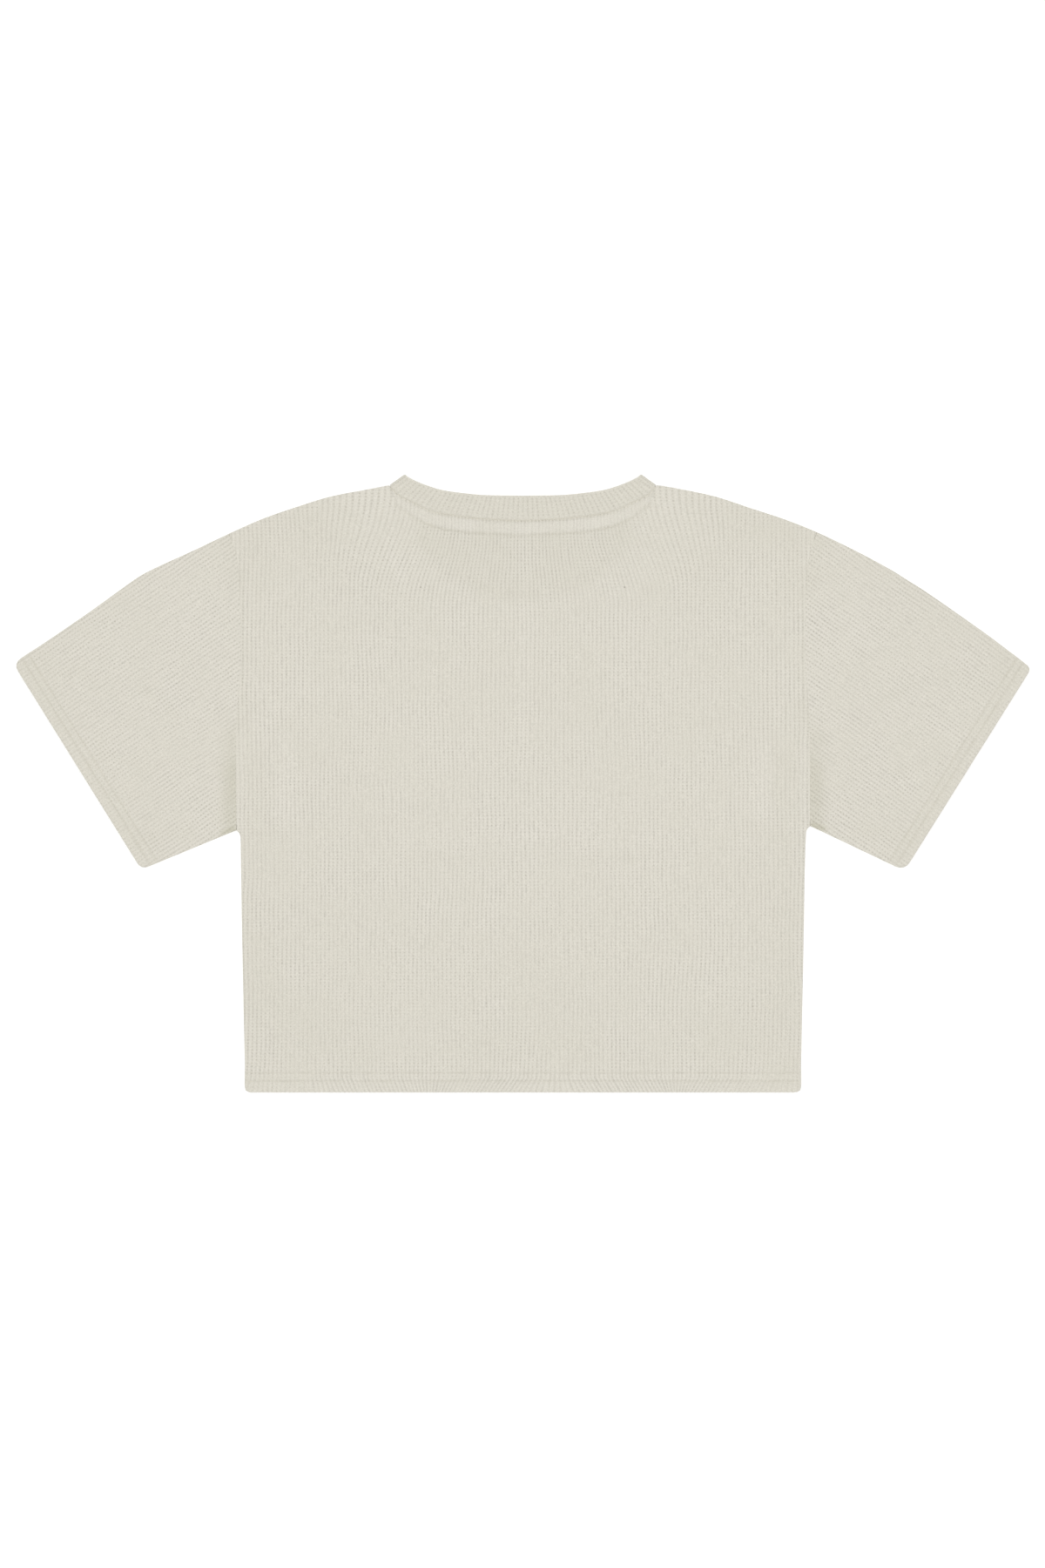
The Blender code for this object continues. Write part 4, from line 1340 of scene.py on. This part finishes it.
def waffleMaterial():
    material, tree, shader = newMaterial("waffleKnit")
    cells = addNode(tree, "ShaderNodeUVMap", uv_map="knit").outputs[0]
    rib, pit, hem, strip, shade = (
        addNode(tree, "ShaderNodeAttribute", attribute_name=label).outputs["Fac"]
        for label in knitFields
    )
    place = addNode(tree, "ShaderNodeTexCoord").outputs["Object"]
    waffleInputs = {"Cells": cells, "Rib": rib, "Pit": pit}
    group = addNode(tree, "ShaderNodeGroup", waffleInputs, node_tree=waffleGroup()).outputs
    lineInputs = {"Hem": hem, "Strip": strip, "Cells": cells}
    line = addNode(tree, "ShaderNodeGroup", lineInputs, node_tree=lineGroup()).outputs["Line"]
    scale, strength, least = waffle["fibres"]
    fibres = noise(tree, place, scale)
    mottle = maths(tree, "MULTIPLY_ADD", fibres, strength, least)
    scale, strength, least = waffle["clouds"]
    clouds = maths(tree, "MULTIPLY_ADD", noise(tree, place, scale, 2.0), strength, least)

    def blend(factor, under, over):
        inputs = {"Factor": factor, 6: under, 7: over}
        return addNode(tree, "ShaderNodeMix", inputs, data_type="RGBA").outputs[2]

    # painted shade: darker in the knit's valleys and pits, and between its stitches
    stitch = product(tree, group["Stitch"], waffle["stitchShade"])
    colour = blend(stitch, waffle["colour"], waffle["valleyShadeColour"])
    colour = blend(group["Valley"], colour, waffle["valleyShadeColour"])
    colour = blend(group["Pit"], colour, waffle["pitShadeColour"])
    # painted shade along the sewn lines' grooves
    colour = blend(line, colour, waffle["lineShadeColour"])
    # the shade attribute: painted light and shade with some tone, tinted olive where it is deep
    dim = vectorMaths(tree, "MULTIPLY_ADD", shade, waffle["shadeTint"], (1, 1, 1))
    colour = vectorMaths(tree, "MULTIPLY", colour, dim)
    colour = scaled(tree, colour, product(tree, clouds, mottle))
    fuzz = {"Strength": 0.5, "Distance": waffle["fuzz"], "Height": fibres}
    fuzz = addNode(tree, "ShaderNodeBump", fuzz).outputs[0]
    height = maths(tree, "MULTIPLY_ADD", line, -waffle["lineDepth"], group["Height"])
    depth = cloth["ribDepth"] + cloth["pitDepth"]
    bump = {"Strength": 1.0, "Distance": depth, "Height": height, "Normal": fuzz}
    bump = addNode(tree, "ShaderNodeBump", bump).outputs[0]
    finish(tree, shader, colour, bump, waffle["shine"])
    return material


def cottonMaterial():
    # sewing thread of the cloth's own colour
    material, tree, shader = newMaterial("sewingThread")
    twist = noise(tree, addNode(tree, "ShaderNodeTexCoord").outputs["Object"], 2600.0)
    colour = scaled(tree, thread["colour"], fitted(tree, twist, 0.3, 0.7, 0.94, 1.04))
    bump = addNode(tree, "ShaderNodeBump", {"Height": twist, "Distance": 0.08 * mm}).outputs[0]
    finish(tree, shader, colour, bump, {"Roughness": 0.7})
    return material


def wear(piece, node):
    piece.data.materials.append(knitMaterial)
    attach(piece, "root")
    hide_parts(node)


knitMaterial = waffleMaterial()
threadMaterial = cottonMaterial()
print("back panel")
back = backPanel()
backRows = [*bodyHemRows(False), (offsetLine(topstitch, 0.6 * mm)[8:-8], False)]
sewing = [stitches("backStitches", back, backRows)]
wear(back, "back_panel")
print("front panel")
front = frontPanel()
sewing = [stitches("frontStitches", front, bodyHemRows(True))]
wear(front, "front_panel")
for side in (left, right):
    print("left sleeve" if side == left else "right sleeve")
    tube = sleeveTube(side)
    hemRows = sleeveHemRows(side, False) + sleeveHemRows(side, True)
    sewing = [stitches(sleeves[side]["stitches"], tube, hemRows)]
    wear(tube, sleeves[side]["node"])
print("neck band")
wear(neckBand(), "neck_band")


# floor, light and camera

studio = {
    "floor": (0.98, 0.98, 0.98, 1),
    "floorGlow": 0.16,  # lifts the contact shadow to the photo's plain white
    "world": 0.72,
    "keyPower": 33,
    "keySize": 2.6,
    "keyPlace": (0, 0.15, 2.6),
}


def buildStudio():
    bpy.ops.mesh.primitive_plane_add(size=8, location=(0, 0, -0.1 * mm))
    floor = bpy.context.object
    floor.name = "studioFloor"
    bpy.ops.object.transform_apply(location=True, rotation=True, scale=True)
    material, _, shader = newMaterial("paleFloor")
    shader.inputs["Base Color"].default_value = studio["floor"]
    shader.inputs["Roughness"].default_value = 0.9
    shader.inputs["Specular IOR Level"].default_value = 0.1
    shader.inputs["Emission Color"].default_value = (1, 1, 1, 1)
    shader.inputs["Emission Strength"].default_value = studio["floorGlow"]
    floor.data.materials.append(material)
    world = bpy.data.worlds.new("studioWorld")
    world.use_nodes = True
    world.node_tree.nodes["Background"].inputs["Color"].default_value = (1, 1, 1, 1)
    world.node_tree.nodes["Background"].inputs["Strength"].default_value = studio["world"]
    bpy.context.scene.world = world
    bpy.ops.object.light_add(type="AREA", location=studio["keyPlace"])
    key = bpy.context.object
    key.data.energy = studio["keyPower"]
    key.data.size = studio["keySize"]
    away = key.location.normalized()
    key.rotation_mode = "QUATERNION"
    key.rotation_quaternion = away.to_track_quat("Z", "Y")
    bpy.ops.object.select_all(action="DESELECT")


def buildCamera():
    data = bpy.data.cameras.new("camera")
    data.lens, data.sensor_width = photo["lens"], photo["sensor"]
    camera = bpy.data.objects.new("camera", data)
    bpy.context.scene.collection.objects.link(camera)
    tall = photo["height"] * photo["mmPerPixel"] * mm
    middle = (photo["width"] / 2 - photo["middle"][0], photo["middle"][1] - photo["height"] / 2)
    x, y = (value * photo["mmPerPixel"] * mm for value in middle)
    camera.location = (x, y, tall * photo["lens"] / photo["sensor"] + 3 * mm)
    data.clip_end = 20
    bpy.context.scene.camera = camera


buildStudio()
buildCamera()
bpy.context.scene.view_settings.view_transform = "Standard"
print("studio ready")
